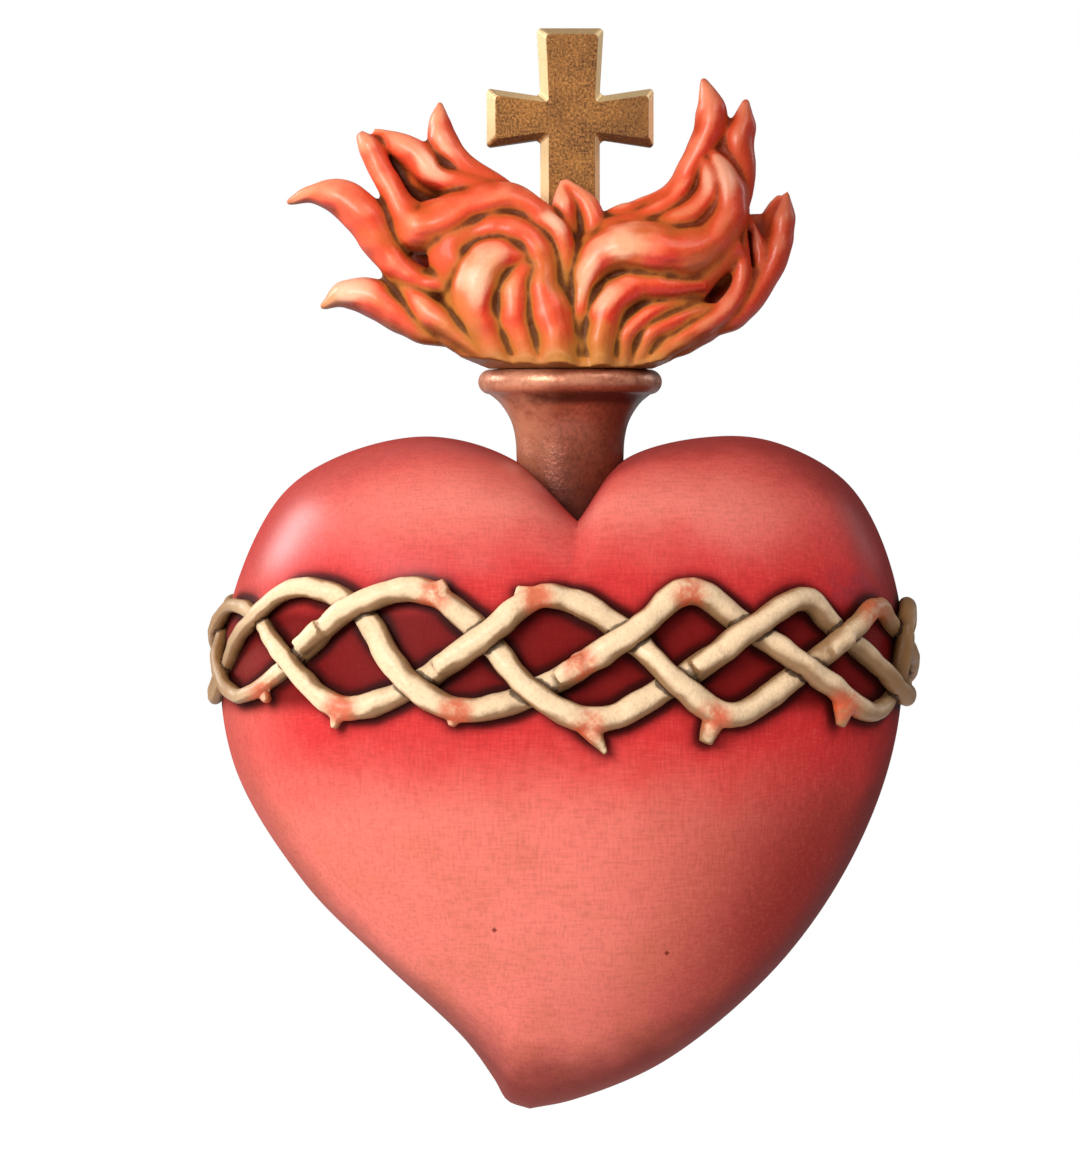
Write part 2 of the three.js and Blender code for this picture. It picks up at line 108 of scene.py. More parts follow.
# Thorns and knots: where each springs from its stem and where it ends, seen from the front, and its
# half width at both ends, all in millimetres
THORNS = [
    ((-40.6, -3.2), (-41.6, -6.6), 1.9, 0.7), ((-19.4, -3.4), (-20.2, -6.4), 2.1, 0.8),
    ((4.6, -6.0), (7.9, -11.2), 2.3, 0.5), ((27.6, -4.4), (25.9, -9.4), 2.2, 1.3),
    ((51.6, -2.4), (50.7, -6.4), 2.3, 0.9), ((-23.4, 17.6), (-20.7, 19.3), 2.3, 1.6),
    ((-4.8, 17.4), (-8.6, 18.6), 2.0, 1.1), ((23.2, 18.0), (23.4, 20.8), 1.8, 0.6),
    ((57.8, 14.8), (58.7, 16.7), 1.7, 1.0),
    ((3.2, 5.2), (2.2, 7.2), 1.7, 0.8), ((-54.6, -0.6), (-53.8, -1.9), 1.3, 0.8),
]
# Where the rising stems begin with a blunt end beside a falling one: a point further along the stem and
# the end, seen from the front, and the half width at both, in millimetres
STEM_ENDS = [
    ((-44.0, 11.7), (-48.2, 7.9), 2.1, 1.75), ((-17.8, 7.5), (-23.0, 4.4), 2.35, 1.9),
    ((3.8, 5.2), (-1.1, 2.2), 2.35, 1.8), ((28.6, 7.3), (23.7, 4.2), 2.35, 1.85),
    ((52.4, 10.1), (48.4, 7.0), 2.2, 1.8),
]

# The licks of flame. One that has a root springs from the rim at that share of its radius to the right.
# Each point of its run to the tip says how far it lies to the right of and above the middle of the
# rim, and half the lick's width there. front says how far the lick lies in front of the middle of the
# rim, at the first point and at the tip. Places and widths are hundredths of the flames' height. One that
# has a skirt is fuller, and a broader form rises behind it, whose widening is multiplied by this number
LICKS = [
    {"root": -0.64, "front": (16, 5),
     "run": [(-36, 8.5, 3), (-50, 12.5, 4.8), (-60, 19, 6.4), (-68, 24, 6.9), (-78, 25, 5), (-86, 21, 0.8)]},
    {"root": -0.65, "front": (20, 10), "skirt": 1,
     "run": [(-40, 13, 3.5), (-48, 18, 4), (-55, 26, 3.5), (-65, 34, 0.8)]},
    {"root": -0.45, "front": (16, 4),
     "run": [(-38, 27, 5), (-53, 30, 5.2), (-62, 38, 6), (-70, 51, 7.5), (-80, 59, 6.4), (-89, 60, 3.6),
             (-98, 57, 0.8)]},
    {"front": (18, 6),
     "run": [(1, 37, 2), (-7, 48, 5.2), (-20, 57, 6.5), (-33, 55, 7.8), (-43, 50, 9), (-52, 48, 9),
             (-58, 54, 6.2), (-62, 62, 4.5), (-66, 69, 4.3), (-69, 76, 4.2), (-73, 81, 1.6)]},
    {"front": (14, 4),
     "run": [(-4, 46, 3), (-22, 57, 5.5), (-35, 62, 5), (-46, 66, 5.2), (-53, 73, 5.6), (-59, 77, 4.5),
             (-68, 82, 1.2)]},
    {"front": (14, 2),
     "run": [(-4, 42, 4.5), (-13, 51, 4.2), (-20, 58, 4.2), (-28, 64, 4.2), (-38, 70, 4.8), (-44, 78, 5.4),
             (-45, 85, 4), (-45, 92, 0.8)]},
    {"root": -0.7, "front": (22, 20), "skirt": 1.3,
     "run": [(-27.5, 11, 5.2), (-31.5, 20, 6.2), (-31, 30.5, 6.8), (-25, 37, 6.2), (-16, 37.5, 4.2)]},
    {"root": -0.44, "front": (24, 21), "skirt": 1.3,
     "run": [(-16, 8, 4.9), (-19, 17.5, 5.5), (-19, 27, 5.2), (-15, 34.5, 4)]},
    {"root": -0.09, "front": (25, 15), "skirt": 1.3,
     "run": [(-5, 8, 6), (-7, 17.5, 6.2), (-9.5, 27, 5), (-9.5, 34, 4.5), (-12, 41, 4.6), (-18, 46, 4.7),
             (-27, 47.5, 4.6), (-35, 45, 4), (-42, 40, 1.8)]},
    {"root": 0, "front": (23, 14),
     "run": [(-1, 16, 3.6), (-2, 28, 3.5), (-1.5, 37, 3.8), (-4, 45, 4.7), (-12, 51.5, 4.9), (-20, 54, 4.2),
             (-31, 53, 3.8), (-39, 46, 1.7)]},
    {"front": (15, 11), "run": [(3, 37, 1.5), (-1, 46, 4.6), (-2, 55, 4.4), (-3, 65, 0.8)]},
    {"front": (15, 11), "run": [(4, 39, 2), (8, 48, 4.2), (6, 56, 3.8), (-2, 65, 0.8)]},
    {"root": 0.2, "front": (24, 7), "skirt": 0.9,
     "run": [(3, 12, 3), (4, 24, 3.3), (7, 34, 4.7), (16, 40, 6.6), (27, 40, 7.6), (38, 39, 7.3),
             (48, 43, 5.6), (54, 51, 4.9), (55, 60, 4.2), (52, 69, 3), (48, 75, 0.9)]},
    {"front": (18, 6),
     "run": [(16, 45, 2.9), (31, 48, 4.1), (42, 53, 4.7), (48, 60, 4.5), (48, 68, 3.5), (43, 75, 1)]},
    {"front": (14, 4), "run": [(10, 48, 3), (29, 53, 3.8), (37, 59, 4), (41, 67, 3.2), (41, 74, 0.9)]},
    {"front": (10, 0),
     "run": [(4, 44, 3.5), (16, 51, 4.6), (28, 54, 4.5), (37, 61, 4.6), (43, 72, 4.8), (48, 81, 5.6),
             (49, 88, 5.6), (48, 94, 3.6), (46, 100, 0.8)]},
    {"front": (6, 0),
     "run": [(46, 35, 3.5), (54, 46, 3.7), (60, 57, 2.6), (60, 66, 4.4), (58, 77, 6), (60, 85, 4.6),
             (61, 93, 0.9)]},
    {"root": 0.7, "front": (14, 0),
     "run": [(41, 11, 3.2), (57, 17.5, 4.2), (66, 28, 4.4), (72, 41, 4.4), (74, 52, 4), (75, 61, 0.9)]},
    {"front": (8, 6), "run": [(55, 18, 3.5), (63, 27, 4), (66, 35, 3.2), (65, 43, 2.4), (62, 52, 0.8)]},
    {"root": 0.7, "front": (18, 8),
     "run": [(42, 12, 3.6), (53, 19, 3.7), (59, 29, 3.5), (59, 41, 3), (60, 53, 1)]},
    {"root": 0.36, "front": (25, 17), "skirt": 1.2,
     "run": [(10.5, 12, 4.3), (14, 21.5, 4.6), (22, 27.5, 4.5), (34, 27.5, 3.8), (47, 28, 1.2)]},
    {"root": 0.62, "front": (23, 15), "skirt": 1.4,
     "run": [(20, 12, 2.6), (28, 18.5, 2.8), (37, 22, 2.3), (45, 23, 0.8)]},
    {"root": 0.76, "front": (21, 14), "skirt": 1.4,
     "run": [(27.5, 11, 2.6), (35, 15.5, 2.8), (43, 18.5, 2.4), (51, 20.5, 0.9)]},
    {"root": 0.86, "front": (18, 12), "skirt": 1.4,
     "run": [(31, 6.5, 2.8), (40, 10.5, 3), (49, 14.5, 2.5), (55, 22, 0.9)]},
]
# Broad plain licks that back the others
BACK_LICKS = [
    {"root": -0.4, "front": (15, 19), "run": [(-24, 17, 9), (-33, 28, 11), (-40, 41, 9), (-24, 50, 6)]},
    {"root": 0.45, "front": (14, 12), "run": [(20, 13, 8), (34, 26, 11), (46, 38, 10), (58, 44, 7)]},
    {"front": (4, -2), "run": [(52, 20, 5), (64, 32, 6), (69, 43, 5.5), (71, 53, 4.4), (73, 60, 1.2)]},
    {"front": (9, 3), "run": [(-14, 50, 7), (-34, 60, 7), (-50, 66, 6), (-58, 72, 4)]},
    {"front": (7, 2), "run": [(20, 50, 6), (38, 58, 7), (48, 66, 7), (54, 76, 5)]},
    {"root": -0.5, "front": (-4, 0), "run": [(-30, 14, 7), (-46, 22, 7), (-60, 28, 4)]},
    {"root": -0.3, "front": (-2, 2), "run": [(-30, 32, 13), (-50, 50, 12), (-60, 68, 7), (-66, 78, 3)]},
    {"root": 0, "front": (0, 2), "run": [(-3, 20, 18), (-2, 36, 17), (0, 47, 15), (0, 54, 9)]},
    {"root": 0.3, "front": (-2, 0), "run": [(24, 26, 13), (44, 42, 13), (48, 60, 9), (54, 78, 6)]},
    {"root": 0.5, "front": (-4, 0), "run": [(34, 14, 7), (54, 30, 9), (62, 42, 8), (61, 53, 5)]},
]

# Where the painted highlights on the licks are palest: to the right, above and how far round, in millimetres
PALE_PLACES = [(-15, 76, 9), (5, 75, 8), (12, 81, 8), (-23, 98, 6), (29, 95, 7), (-1, 87, 5), (-40, 74, 7)]

# The neck's profile from its foot up to the rim: radius and depth below the top of the rim, in millimetres
NECK_PROFILE = [(8.9, 31.0), (9.5, 24.0), (9.9, 17.0), (10.1, 13.0), (10.9, 9.6), (13.0, 6.2), (14.9, 4.6)]

# From one rise to the next of the unevenness that a carver's hand leaves
HEART_RIPPLE = 9 * mm
STEM_RIPPLE = 7 * mm
CROWN_RIPPLE = 3.6 * mm
FLAME_RIPPLE = 4 * mm
STEM_SWELLING = 0.14  # how far a stem's width strays, as a share of it
# How far the blush round a thorn's root is full, and how far it reaches
BLUSH_REACH = (1.2 * mm, 4.6 * mm)
# The same for the painted shadow on the heart along the stems
CROWN_SHADOW_REACH = (0.2 * mm, 3.4 * mm)
# How often a surface is evened out to find the depth of the crown's grooves and of the flames' fine creases
# and broad hollows
GROOVE_ROUNDS = 20
FINE_ROUNDS = 12
BROAD_ROUNDS = 90
# How often the flames' marks for the paint are evened out
MARK_ROUNDS = 5
FLAME_GAP = 0.02 * mm  # between the rim and the flames

# The lamps: name, place, width and height, power in watts and tint. They all face the same point
LAMPS = [
    ("key", (-0.85, -1.2, 0.55), (0.8, 0.8), 25, (1, 0.98, 0.95)),
    ("fill", (0.95, -0.8, 1.35), (0.8, 0.8), 9, (1, 0.97, 0.94)),
    ("left", (-1.05, 0.37, 0.55), (0.35, 0.7), 10, (1, 1, 1)),
    ("right", (0.98, 0.62, 0.44), (0.3, 0.5), 1.5, (1, 1, 1)),
]
LAMPS_FACE = Vector((0, -0.02, 0.02))
ROOM_LIGHT = 0.16
FLOOR_PAINT = (0.9, 0.9, 0.9)
FLOOR_GLOW = 0.14

FRONT = Vector((0, -1, 0))
SHARP_ANGLE = math.radians(60)  # edges that turn more than this aren't shaded smooth
TOUCHING = 1e-6  # points nearer than this are one


def length(name, description, default):
    return FloatProperty(name=name, description=description, default=default, unit="LENGTH", precision=5)


def share(name, description, default):
    return FloatProperty(name=name, description=description, default=default, subtype="FACTOR")


def factor(name, description, default):
    return FloatProperty(name=name, description=description, default=default)


def count(name, description, default):
    return IntProperty(name=name, description=description, default=default)


def colour(name, description, red, green, blue):
    """A colour as it is mixed, given in 255ths as a paint chart does"""
    linear = [(((part / 255) + 0.055) / 1.055) ** 2.4 for part in (red, green, blue)]
    return FloatVectorProperty(
        name=name, description=description, subtype="COLOR", size=3, min=0, max=1, default=linear)


class HeartSettings(PropertyGroup):
    height: length("Height", "From the tip to the top of the lobes", HEART_HEIGHT)
    depth: length("Depth", "From the wall to the front", -heart_low.y)
    rim_depth: length("Rim depth", "From the wall to the widest outline", 16 * mm)
    back_share: share("Back", "The flat back as a share of the widest outline", 0.84)
    fullness: factor("Fullness", "Higher makes the front flatter", 2.5)
    softening: FloatProperty(
        name="Softening", description="How far the outline is evened out towards the middle",
        default=math.radians(46), subtype="ANGLE")
    tip_firmness: factor("Tip firmness", "Higher keeps the tip's form nearer to the outline", 8)
    cleft_firmness: factor("Cleft firmness", "Higher keeps the cleft nearer to the outline", 2)
    hole_radius: length("Hole radius", "Of the hole for a nail in the back", 4 * mm)
    hole_depth: length("Hole depth", "Of the hole for a nail in the back", 14 * mm)
    hole_height: length("Hole height", "Above the origin", 13 * mm)
    unevenness: length("Unevenness", "How far the carver's hand strays", 0.5 * mm)
    around: count("Steps round", "Steps round the outline", 320)
    coral: colour("Coral", "The middle of the heart", 220, 110, 98)
    # Salmon gives painted light on the lower half and the lobes, and the paler grain and threads
    salmon: colour("Salmon", "Towards the tip and on the lobes", 240, 144, 128)
    ochre: colour("Ochre", "A thin stain over the lower half", 190, 104, 70)
    crimson: colour("Crimson", "Above and below the crown", 203, 42, 46)
    # Dark paint in the crown's openings, also used for painted shade there and along the stems
    glaze_and_shade: colour("Glaze", "In the openings of the crown", 92, 8, 8)
    # Painted shadow: the dark line along the stems
    contact_shadow: colour("Contact", "The dark line along the stems of the crown", 34, 8, 5)
    # Deep red gives painted shade towards the outline and over the lower right
    deep: colour("Deep red", "Towards the outline and the lower right", 172, 34, 30)
    shade: colour("Shade", "Along the outline", 90, 12, 10)
    violet: colour("Violet", "A few strokes above the crown on the right", 118, 50, 66)
    wood: colour("Wood", "The bare back", 186, 146, 102)
    wood_line: colour("Wood grain", "The darker lines in the bare back", 138, 98, 60)


class CrownSettings(PropertyGroup):
    bed: length("Bedding", "How deep a stem is bedded in the heart", 0.3 * mm)
    rise: share("Rise", "How far a stem rises over another, as a share of its half width", 0.42)
    dip: share("Dip", "How far a stem sinks under another, as a share of its half width", 0.8)
    thorn_lift: length("Thorn lift", "From the heart to the middle of a thorn", 1.9 * mm)
    end_lift: length("End lift", "From the heart to the middle of a stem's blunt end", 2.7 * mm)
    seam_width: share("Seam width", "Of the cut where stems meet, as a share of a stem's half width", 0.36)
    seam_depth: length("Seam depth", "Of the cut where stems meet", 0.4 * mm)
    unevenness: length("Unevenness", "How far the carver's hand strays", 0.34 * mm)
    wall_gap: length("Wall gap", "From the wall to the ends of the stems", -crown_high.y)
    grain: length("Grain", "The finest detail that is carved", 0.4 * mm)
    rounds: count("Rounding", "How often the carving is evened out", 3)
    bone: colour("Bone", "The paint of the stems", 234, 202, 164)
    # Olive gives the paint's grain, and painted shade on the flanks and on the ends round the sides
    olive: colour("Olive", "Along the flanks of the stems", 130, 90, 50)
    blush: colour("Blush", "Thorns and the tops of the turns", 204, 78, 40)
    umber: colour("Umber", "The shade in the crossings", 52, 28, 12)


class NeckSettings(PropertyGroup):
    rim_radius: length("Rim radius", "Of the round rim", (neck_high.x - neck_low.x) / 2)
    rim_thickness: length("Rim thickness", "Height of the rounded lip", 4.6 * mm)
    steps: count("Steps round", "Steps round the neck", 128)
    copper: colour("Copper", "The paint of the neck", 158, 82, 58)
    # Painted highlight on the rim and on the left side
    copper_highlight: colour("Brushed copper", "Over the rim", 222, 152, 118)
    # Dark grain, and painted shade at the foot, under the lip and on the right
    glaze_and_shade: colour("Glaze", "The dark glaze in its hollows", 54, 20, 14)


class FlameSettings(PropertyGroup):
    height: length("Height", "From the rim to the tallest tip", 53.5 * mm)
    root_reach: share("Root reach", "From the neck's axis to the roots, as a share of the rim's radius", 0.86)
    back_root_reach: share("Back root reach", "The same, forwards, for the licks at the back", 0.2)
    root_width: share("Root width", "Of a root, as a share of the first width", 0.8)
    root_sink: share("Root sink", "How far the roots start below the rim, as a share of the height", 0.04)
    seat: share("Seat", "Of the roots on the rim, as a share of its radius", 0.94)
    spread: factor("Spread", "How fast the roots spread above the rim", 3)
    lick_depth: share("Lick depth", "A lick's depth as a share of its width", 1.25)
    back_lick_depth: share("Back lick depth", "The same for the licks at the back", 0.75)
    fullness: factor("Fullness", "2 makes round licks, less makes sharp ones", 1.8)
    swell: factor("Swell", "Of the licks in front, as a factor of their width", 1.42)
    skirt_width: share("Skirt width", "How much wider than its lick a skirt is at the root", 0.5)
    skirt_depth: share("Skirt depth", "As a share of its lick's depth", 0.9)
    skirt_sink: share("Skirt sink", "How far it lies behind its lick, as a share of half its width", 0.55)
    grain: length("Grain", "The finest detail that is carved", 0.44 * mm)
    rounds: count("Rounding", "How often the carving is evened out", 2)
    unevenness: length("Unevenness", "How far the carver's hand strays", 0.3 * mm)
    filling: share("Filling", "How much of a hollow's depth is left in the block", 0.25)
    orange: colour("Orange red", "The paint of the licks", 232, 82, 48)
    # Peach gives a painted highlight on the crests
    peach_highlight: colour("Peach", "Brushed over the crests", 250, 168, 128)
    # Red gives painted shade on the flanks that face down and to the right, and towards the hollows
    red: colour("Red", "Glazed along the flanks", 190, 28, 16)
    # Red brown on the tips, and painted shade over the licks on the right
    deep: colour("Red brown", "On the tips and over the licks on the right", 152, 46, 22)
    # Cream gives the palest painted highlights
    cream_highlight: colour("Cream", "The palest touches", 252, 216, 188)
    olive: colour("Olive gold", "In the shallow grooves and at the roots", 184, 122, 50)
    # Umber gives painted shade in the hollows, the fine creases and on the undersides
    umber: colour("Umber", "In the deep hollows", 70, 24, 6)


class CrossSettings(PropertyGroup):
    chamfer: length("Chamfer", "Of the edges in front and behind", 1.25 * mm)
    lean: FloatVectorProperty(
        name="Lean", description="How far the front face lies off the middle, so that its chamfers differ",
        default=(0.35 * mm, 0, 0.1 * mm), unit="LENGTH", precision=5)
    corner: length("Corner radius", "Of the outline's corners", 0.7 * mm)
    edge_radius: length("Edge radius", "Of all the edges that are left", 0.18 * mm)
    top_width: length("Top width", "Of the upper arm at its end", 12.4 * mm)
    shaft_width: length("Shaft width", "Of the upright", 11.1 * mm)
    arm_end: length("Arm end", "Height of a side arm at its end", 11 * mm)
    arm_inner: length("Arm root", "Height of a side arm at the shaft", 8.2 * mm)
    arm_drop: length("Arm drop", "From the top to the middle of the side arms", 16.6 * mm)
    gold: colour("Gold", "The leaf on the front", 184, 124, 60)
    # Worn leaf, and painted shade towards the right arm
    brown: colour("Brown", "Where the leaf is worn", 70, 38, 14)
    # Bright specks in the leaf, and a painted highlight on the chamfers
    bright_leaf_and_highlight: colour("Rubbed gold", "The bright leaf on the chamfers", 250, 220, 168)
    # The plainer sides and back, and painted shade on the chamfers that face down
    dark: colour("Dark", "The sides", 88, 52, 26)


class StageSettings(PropertyGroup):
    view_height: length("View height", "What the picture's long side shows at the heart", 213.9 * mm)
    view_x: length("View centre", "Sideways, of the picture's middle", -4.07 * mm)
    view_z: length("View level", "Height of the picture's middle", 20.83 * mm)
    view_depth: length("View depth", "From the wall to where the picture is measured", 18 * mm)
    distance: length("Distance", "From the camera to the heart", 2.0)
    floor_drop: length("Floor drop", "From the origin down to the floor", 0.4)
    floor_radius: length("Floor radius", "Of the round floor", 2.5)


def settings():
    return bpy.context.scene.sacred_heart


class Spline:
    """A smooth curve through points"""

    def __init__(self, points):
        self.points = [Vector(point) for point in points]

    def at(self, along):
        """The point at a share of the way, counted from point to point"""
        points = self.points
        last = len(points) - 1
        place = min(max(along, 0), 1) * last
        index = min(int(place), last - 1)
        start, end = points[index], points[index + 1]
        before = points[index - 1] if index > 0 else 2 * start - end
        after = points[index + 2] if index + 2 <= last else 2 * end - start
        gaps = [math.sqrt((b - a).length) for a, b in ((before, start), (start, end), (end, after))]
        leaving = (start - before) / gaps[0] - (end - before) / (gaps[0] + gaps[1]) + (end - start) / gaps[1]
        arriving = (end - start) / gaps[1] - (after - start) / (gaps[1] + gaps[2]) + (after - end) / gaps[2]
        leaving = leaving * gaps[1]
        arriving = arriving * gaps[1]
        t = place - index
        bend = -3 * start + 3 * end - 2 * leaving - arriving
        twist = 2 * start - 2 * end + leaving + arriving
        return start + leaving * t + bend * t * t + twist * t * t * t

    def heading(self, along):
        """The direction in which the curve runs there"""
        step = 1e-3
        return (self.at(min(along + step, 1)) - self.at(max(along - step, 0))).normalized()

    def evenly(self, steps):
        """Points at even distances from end to end"""
        divisions = 200
        samples = [self.at(i / divisions) for i in range(divisions + 1)]
        reached = [0]
        for a, b in zip(samples, samples[1:]):
            reached.append(reached[-1] + (b - a).length)
        found = []
        index = 0
        for i in range(steps + 1):
            target = reached[-1] * i / steps
            while index < divisions - 1 and reached[index + 1] < target:
                index += 1
            part = (target - reached[index]) / (reached[index + 1] - reached[index])
            found.append(self.at((index + min(part, 1)) / divisions))
        return found


def mix(a, b, part):
    return a + (b - a) * part


def stepped(value, low, high):
    """0 below low, 1 above high and a smooth way between"""
    part = min(max((value - low) / (high - low), 0), 1)
    return part * part * (3 - 2 * part)


def table_value(table, place):
    """The value at a place between the rows of a table of places and values"""
    for (low, a), (high, b) in zip(table, table[1:]):
        if place <= high:
            return mix(a, b, min(max((place - low) / (high - low), 0), 1))
    return table[-1][1]


def face_out(shape):
    """Turns all faces outwards"""
    bmesh.ops.recalc_face_normals(shape, faces=shape.faces)
    if shape.calc_volume(signed=True) < 0:
        bmesh.ops.reverse_faces(shape, faces=shape.faces)
    shape.normal_update()


def powered(value, exponent):
    """The power of the value's size, with the value's own sign"""
    return math.copysign(abs(value) ** exponent, value)


def rod(curve, half, depthwise, steps, sides, fullness=2.0):
    """A closed rod along a curve. half gives its half width and half depth at a share of its length, and
    depthwise the direction in which the half depth is measured at a point"""
    shape = bmesh.new()
    bmesh.ops.create_grid(shape, x_segments=steps, y_segments=sides, size=1)
    rings = []
    for i in range(steps + 1):
        along = (1 - math.cos(math.pi * i / steps)) / 2
        centre = curve.at(along)
        heading = curve.heading(along)
        across = heading.cross(depthwise(centre)).normalized()
        deep = across.cross(heading)
        wide, thick = (0, 0) if i in (0, steps) else half(along, centre)
        rings.append((centre, across * wide, deep * thick))
    for vert in shape.verts:
        centre, across, deep = rings[round((vert.co.x + 1) / 2 * steps)]
        turn = math.pi * vert.co.y
        sideways = powered(math.cos(turn), 2 / fullness)
        inwards = powered(math.sin(turn), 2 / fullness)
        vert.co = centre + across * sideways + deep * inwards
    bmesh.ops.remove_doubles(shape, verts=shape.verts, dist=TOUCHING)
    face_out(shape)
    return shape


def joined(shapes):
    """Several meshes as one"""
    whole = bmesh.new()
    for shape in shapes:
        mesh = bpy.data.meshes.new("part")
        shape.to_mesh(mesh)
        shape.free()
        whole.from_mesh(mesh)
        bpy.data.meshes.remove(mesh)
    return whole


def modified(shape, modifiers):
    """The mesh with modifiers applied, each given as its type and settings"""
    mesh = bpy.data.meshes.new("rough")
    shape.to_mesh(mesh)
    rough = bpy.data.objects.new("rough", mesh)
    bpy.context.scene.collection.objects.link(rough)
    for kind, options in modifiers:
        modifier = rough.modifiers.new(kind, kind)
        for name, value in options.items():
            setattr(modifier, name, value)
    finished = rough.evaluated_get(bpy.context.evaluated_depsgraph_get()).to_mesh()
    result = bmesh.new()
    result.from_mesh(finished)
    bpy.data.objects.remove(rough)
    bpy.data.meshes.remove(mesh)
    return result


def keep_outer_shell(shape):
    """Deletes what isn't part of the largest surface, such as a pocket that was shut in"""
    left = set(shape.verts)
    shells = []
    while left:
        shell = [left.pop()]
        for vert in shell:
            for edge in vert.link_edges:
                other = edge.other_vert(vert)
                if other in left:
                    left.remove(other)
                    shell.append(other)
        shells.append(shell)
    shells.sort(key=len)
    for shell in shells[:-1]:
        bmesh.ops.delete(shape, geom=shell, context="VERTS")


def carved(shapes, grain, rounds):
    """One surface round several shapes, as if they were carved from one block"""
    shape = modified(joined(shapes), [
        ("REMESH", {"mode": "VOXEL", "voxel_size": grain}),
        ("SMOOTH", {"factor": 0.5, "iterations": rounds}),
    ])
    keep_outer_shell(shape)
    return shape


def cut_off(shape, point, outwards):
    """Cuts the shape flat at a plane and closes it there"""
    geometry = shape.verts[:] + shape.edges[:] + shape.faces[:]
    cut = bmesh.ops.bisect_plane(
        shape, geom=geometry, plane_co=point, plane_no=outwards, clear_outer=True)
    edges = [item for item in cut["geom_cut"] if isinstance(item, bmesh.types.BMEdge)]
    bmesh.ops.triangle_fill(shape, edges=edges, use_beauty=True, normal=outwards)


def hollows(shape, rounds):
    """How far each vertex lies below the same surface evened out, in its own direction"""
    smooth = modified(shape, [("SMOOTH", {"factor": 0.5, "iterations": rounds})])
    smooth.verts.ensure_lookup_table()
    depths = [(smooth.verts[i].co - vert.co).dot(vert.normal) for i, vert in enumerate(shape.verts)]
    smooth.free()
    return depths


def evened(shape, values, rounds):
    """The values of the vertices, each averaged with its neighbours' a few times"""
    shape.verts.index_update()
    near = [[edge.other_vert(vert).index for edge in vert.link_edges] for vert in shape.verts]
    for _ in range(rounds):
        totals = [values[i] + sum(values[j] for j in others) for i, others in enumerate(near)]
        values = [total / (len(others) + 1) for total, others in zip(totals, near)]
    return values


def write_layer(shape, name, values):
    """Marks the vertices for the paint"""
    layer = shape.verts.layers.float.new(name)
    for vert, value in zip(shape.verts, values):
        vert[layer] = value


def piece(name, shape, material, node):
    """The finished mesh as an object that stands for its node"""
    mesh = bpy.data.meshes.new(name)
    shape.to_mesh(mesh)
    shape.free()
    mesh.shade_smooth()
    mesh.set_sharp_from_angle(angle=SHARP_ANGLE)
    mesh.materials.append(material)
    made = bpy.data.objects.new(name, mesh)
    bpy.context.scene.collection.objects.link(made)
    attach(made, "root")
    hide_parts(node)
    return made


class Value:
    """A socket whose arithmetic adds Math nodes"""

    def __init__(self, finish, socket):
        self.finish = finish
        self.socket = socket

    def math(self, operation, *others):
        sockets = dict(enumerate((self, *others)))
        return self.finish.node("ShaderNodeMath", {"operation": operation}, sockets)

    def __add__(self, other):
        return self.math("ADD", other)

    def __sub__(self, other):
        return self.math("SUBTRACT", other)

    def __mul__(self, other):
        return self.math("MULTIPLY", other)

    def __rsub__(self, other):
        return self.math("MULTIPLY", -1) + other

    def size(self):
        return self.math("ABSOLUTE")

    def between(self, low, high):
        """0 at low, 1 at high and a smooth way between"""
        return self.finish.node(
            "ShaderNodeMapRange", {"interpolation_type": "SMOOTHSTEP"},
            {"Value": self, "From Min": low, "From Max": high})


class Finish:
    """A material under way, and its paint so far"""

    def __init__(self, name, ground, constants):
        self.material = bpy.data.materials.new(name)
        self.material.use_nodes = True
        self.tree = self.material.node_tree
        self.shader = self.tree.nodes["Principled BSDF"]
        self.paint = ground
        for socket, value in constants.items():
            self.set(socket, value)
        self.place = self.node("ShaderNodeTexCoord", output="Object")

    def node(self, kind, options=None, inputs=None, output=0):
        made = self.tree.nodes.new(kind)
        for name, value in (options or {}).items():
            setattr(made, name, value)
        for name, value in (inputs or {}).items():
            self.feed(made.inputs[name], value)
        return Value(self, made.outputs[output])

    def feed(self, socket, value):
        if isinstance(value, Value):
            self.tree.links.new(value.socket, socket)
        elif socket.type == "RGBA":
            socket.default_value = (*value, 1)
        else:
            socket.default_value = value

    def set(self, socket, value):
        self.feed(self.shader.inputs[socket], value)

    def part(self, axis):
        """The place's distance from the origin along an axis"""
        return self.node("ShaderNodeSeparateXYZ", None, {0: self.place}, axis)

    def noise(self, size, detail=3, roughness=0.5, stretch=(1, 1, 1)):
        """Cloudy variation from 0 to 1, with features of that size in metres"""
        scaled = self.node(
            "ShaderNodeVectorMath", {"operation": "MULTIPLY"}, {0: self.place, 1: stretch})
        return self.node("ShaderNodeTexNoise", None, {
            "Vector": scaled, "Scale": 1 / size, "Detail": detail, "Roughness": roughness})

    def attribute(self, name):
        return self.node("ShaderNodeAttribute", {"attribute_name": name}, None, "Fac")

    def blend(self, part, first, second):
        """Two colours mixed"""
        return self.node("ShaderNodeMix", {"data_type": "RGBA"}, {0: part, 6: first, 7: second}, 2)

    def cover(self, part, colour):
        """Lays a colour over the paint so far, by a part from 0 to 1"""
        self.paint = self.blend(part, self.paint, colour)

    def bump(self, height, distance):
        self.set("Normal", self.node("ShaderNodeBump", None, {"Height": height, "Distance": distance}))

    def finished(self):
        self.set("Base Color", self.paint)
        return self.material


def heart_outline(height, turns):
    """The outline's points at even steps, from the cleft down the right side and up the left one"""
    sides = [
        Spline([Vector((x, 0, z)) * height / 100 for x, z in side]).evenly(turns // 2)
        for side in (RIGHT_OUTLINE, LEFT_OUTLINE)
    ]
    return sides[0] + sides[1][-2:0:-1]


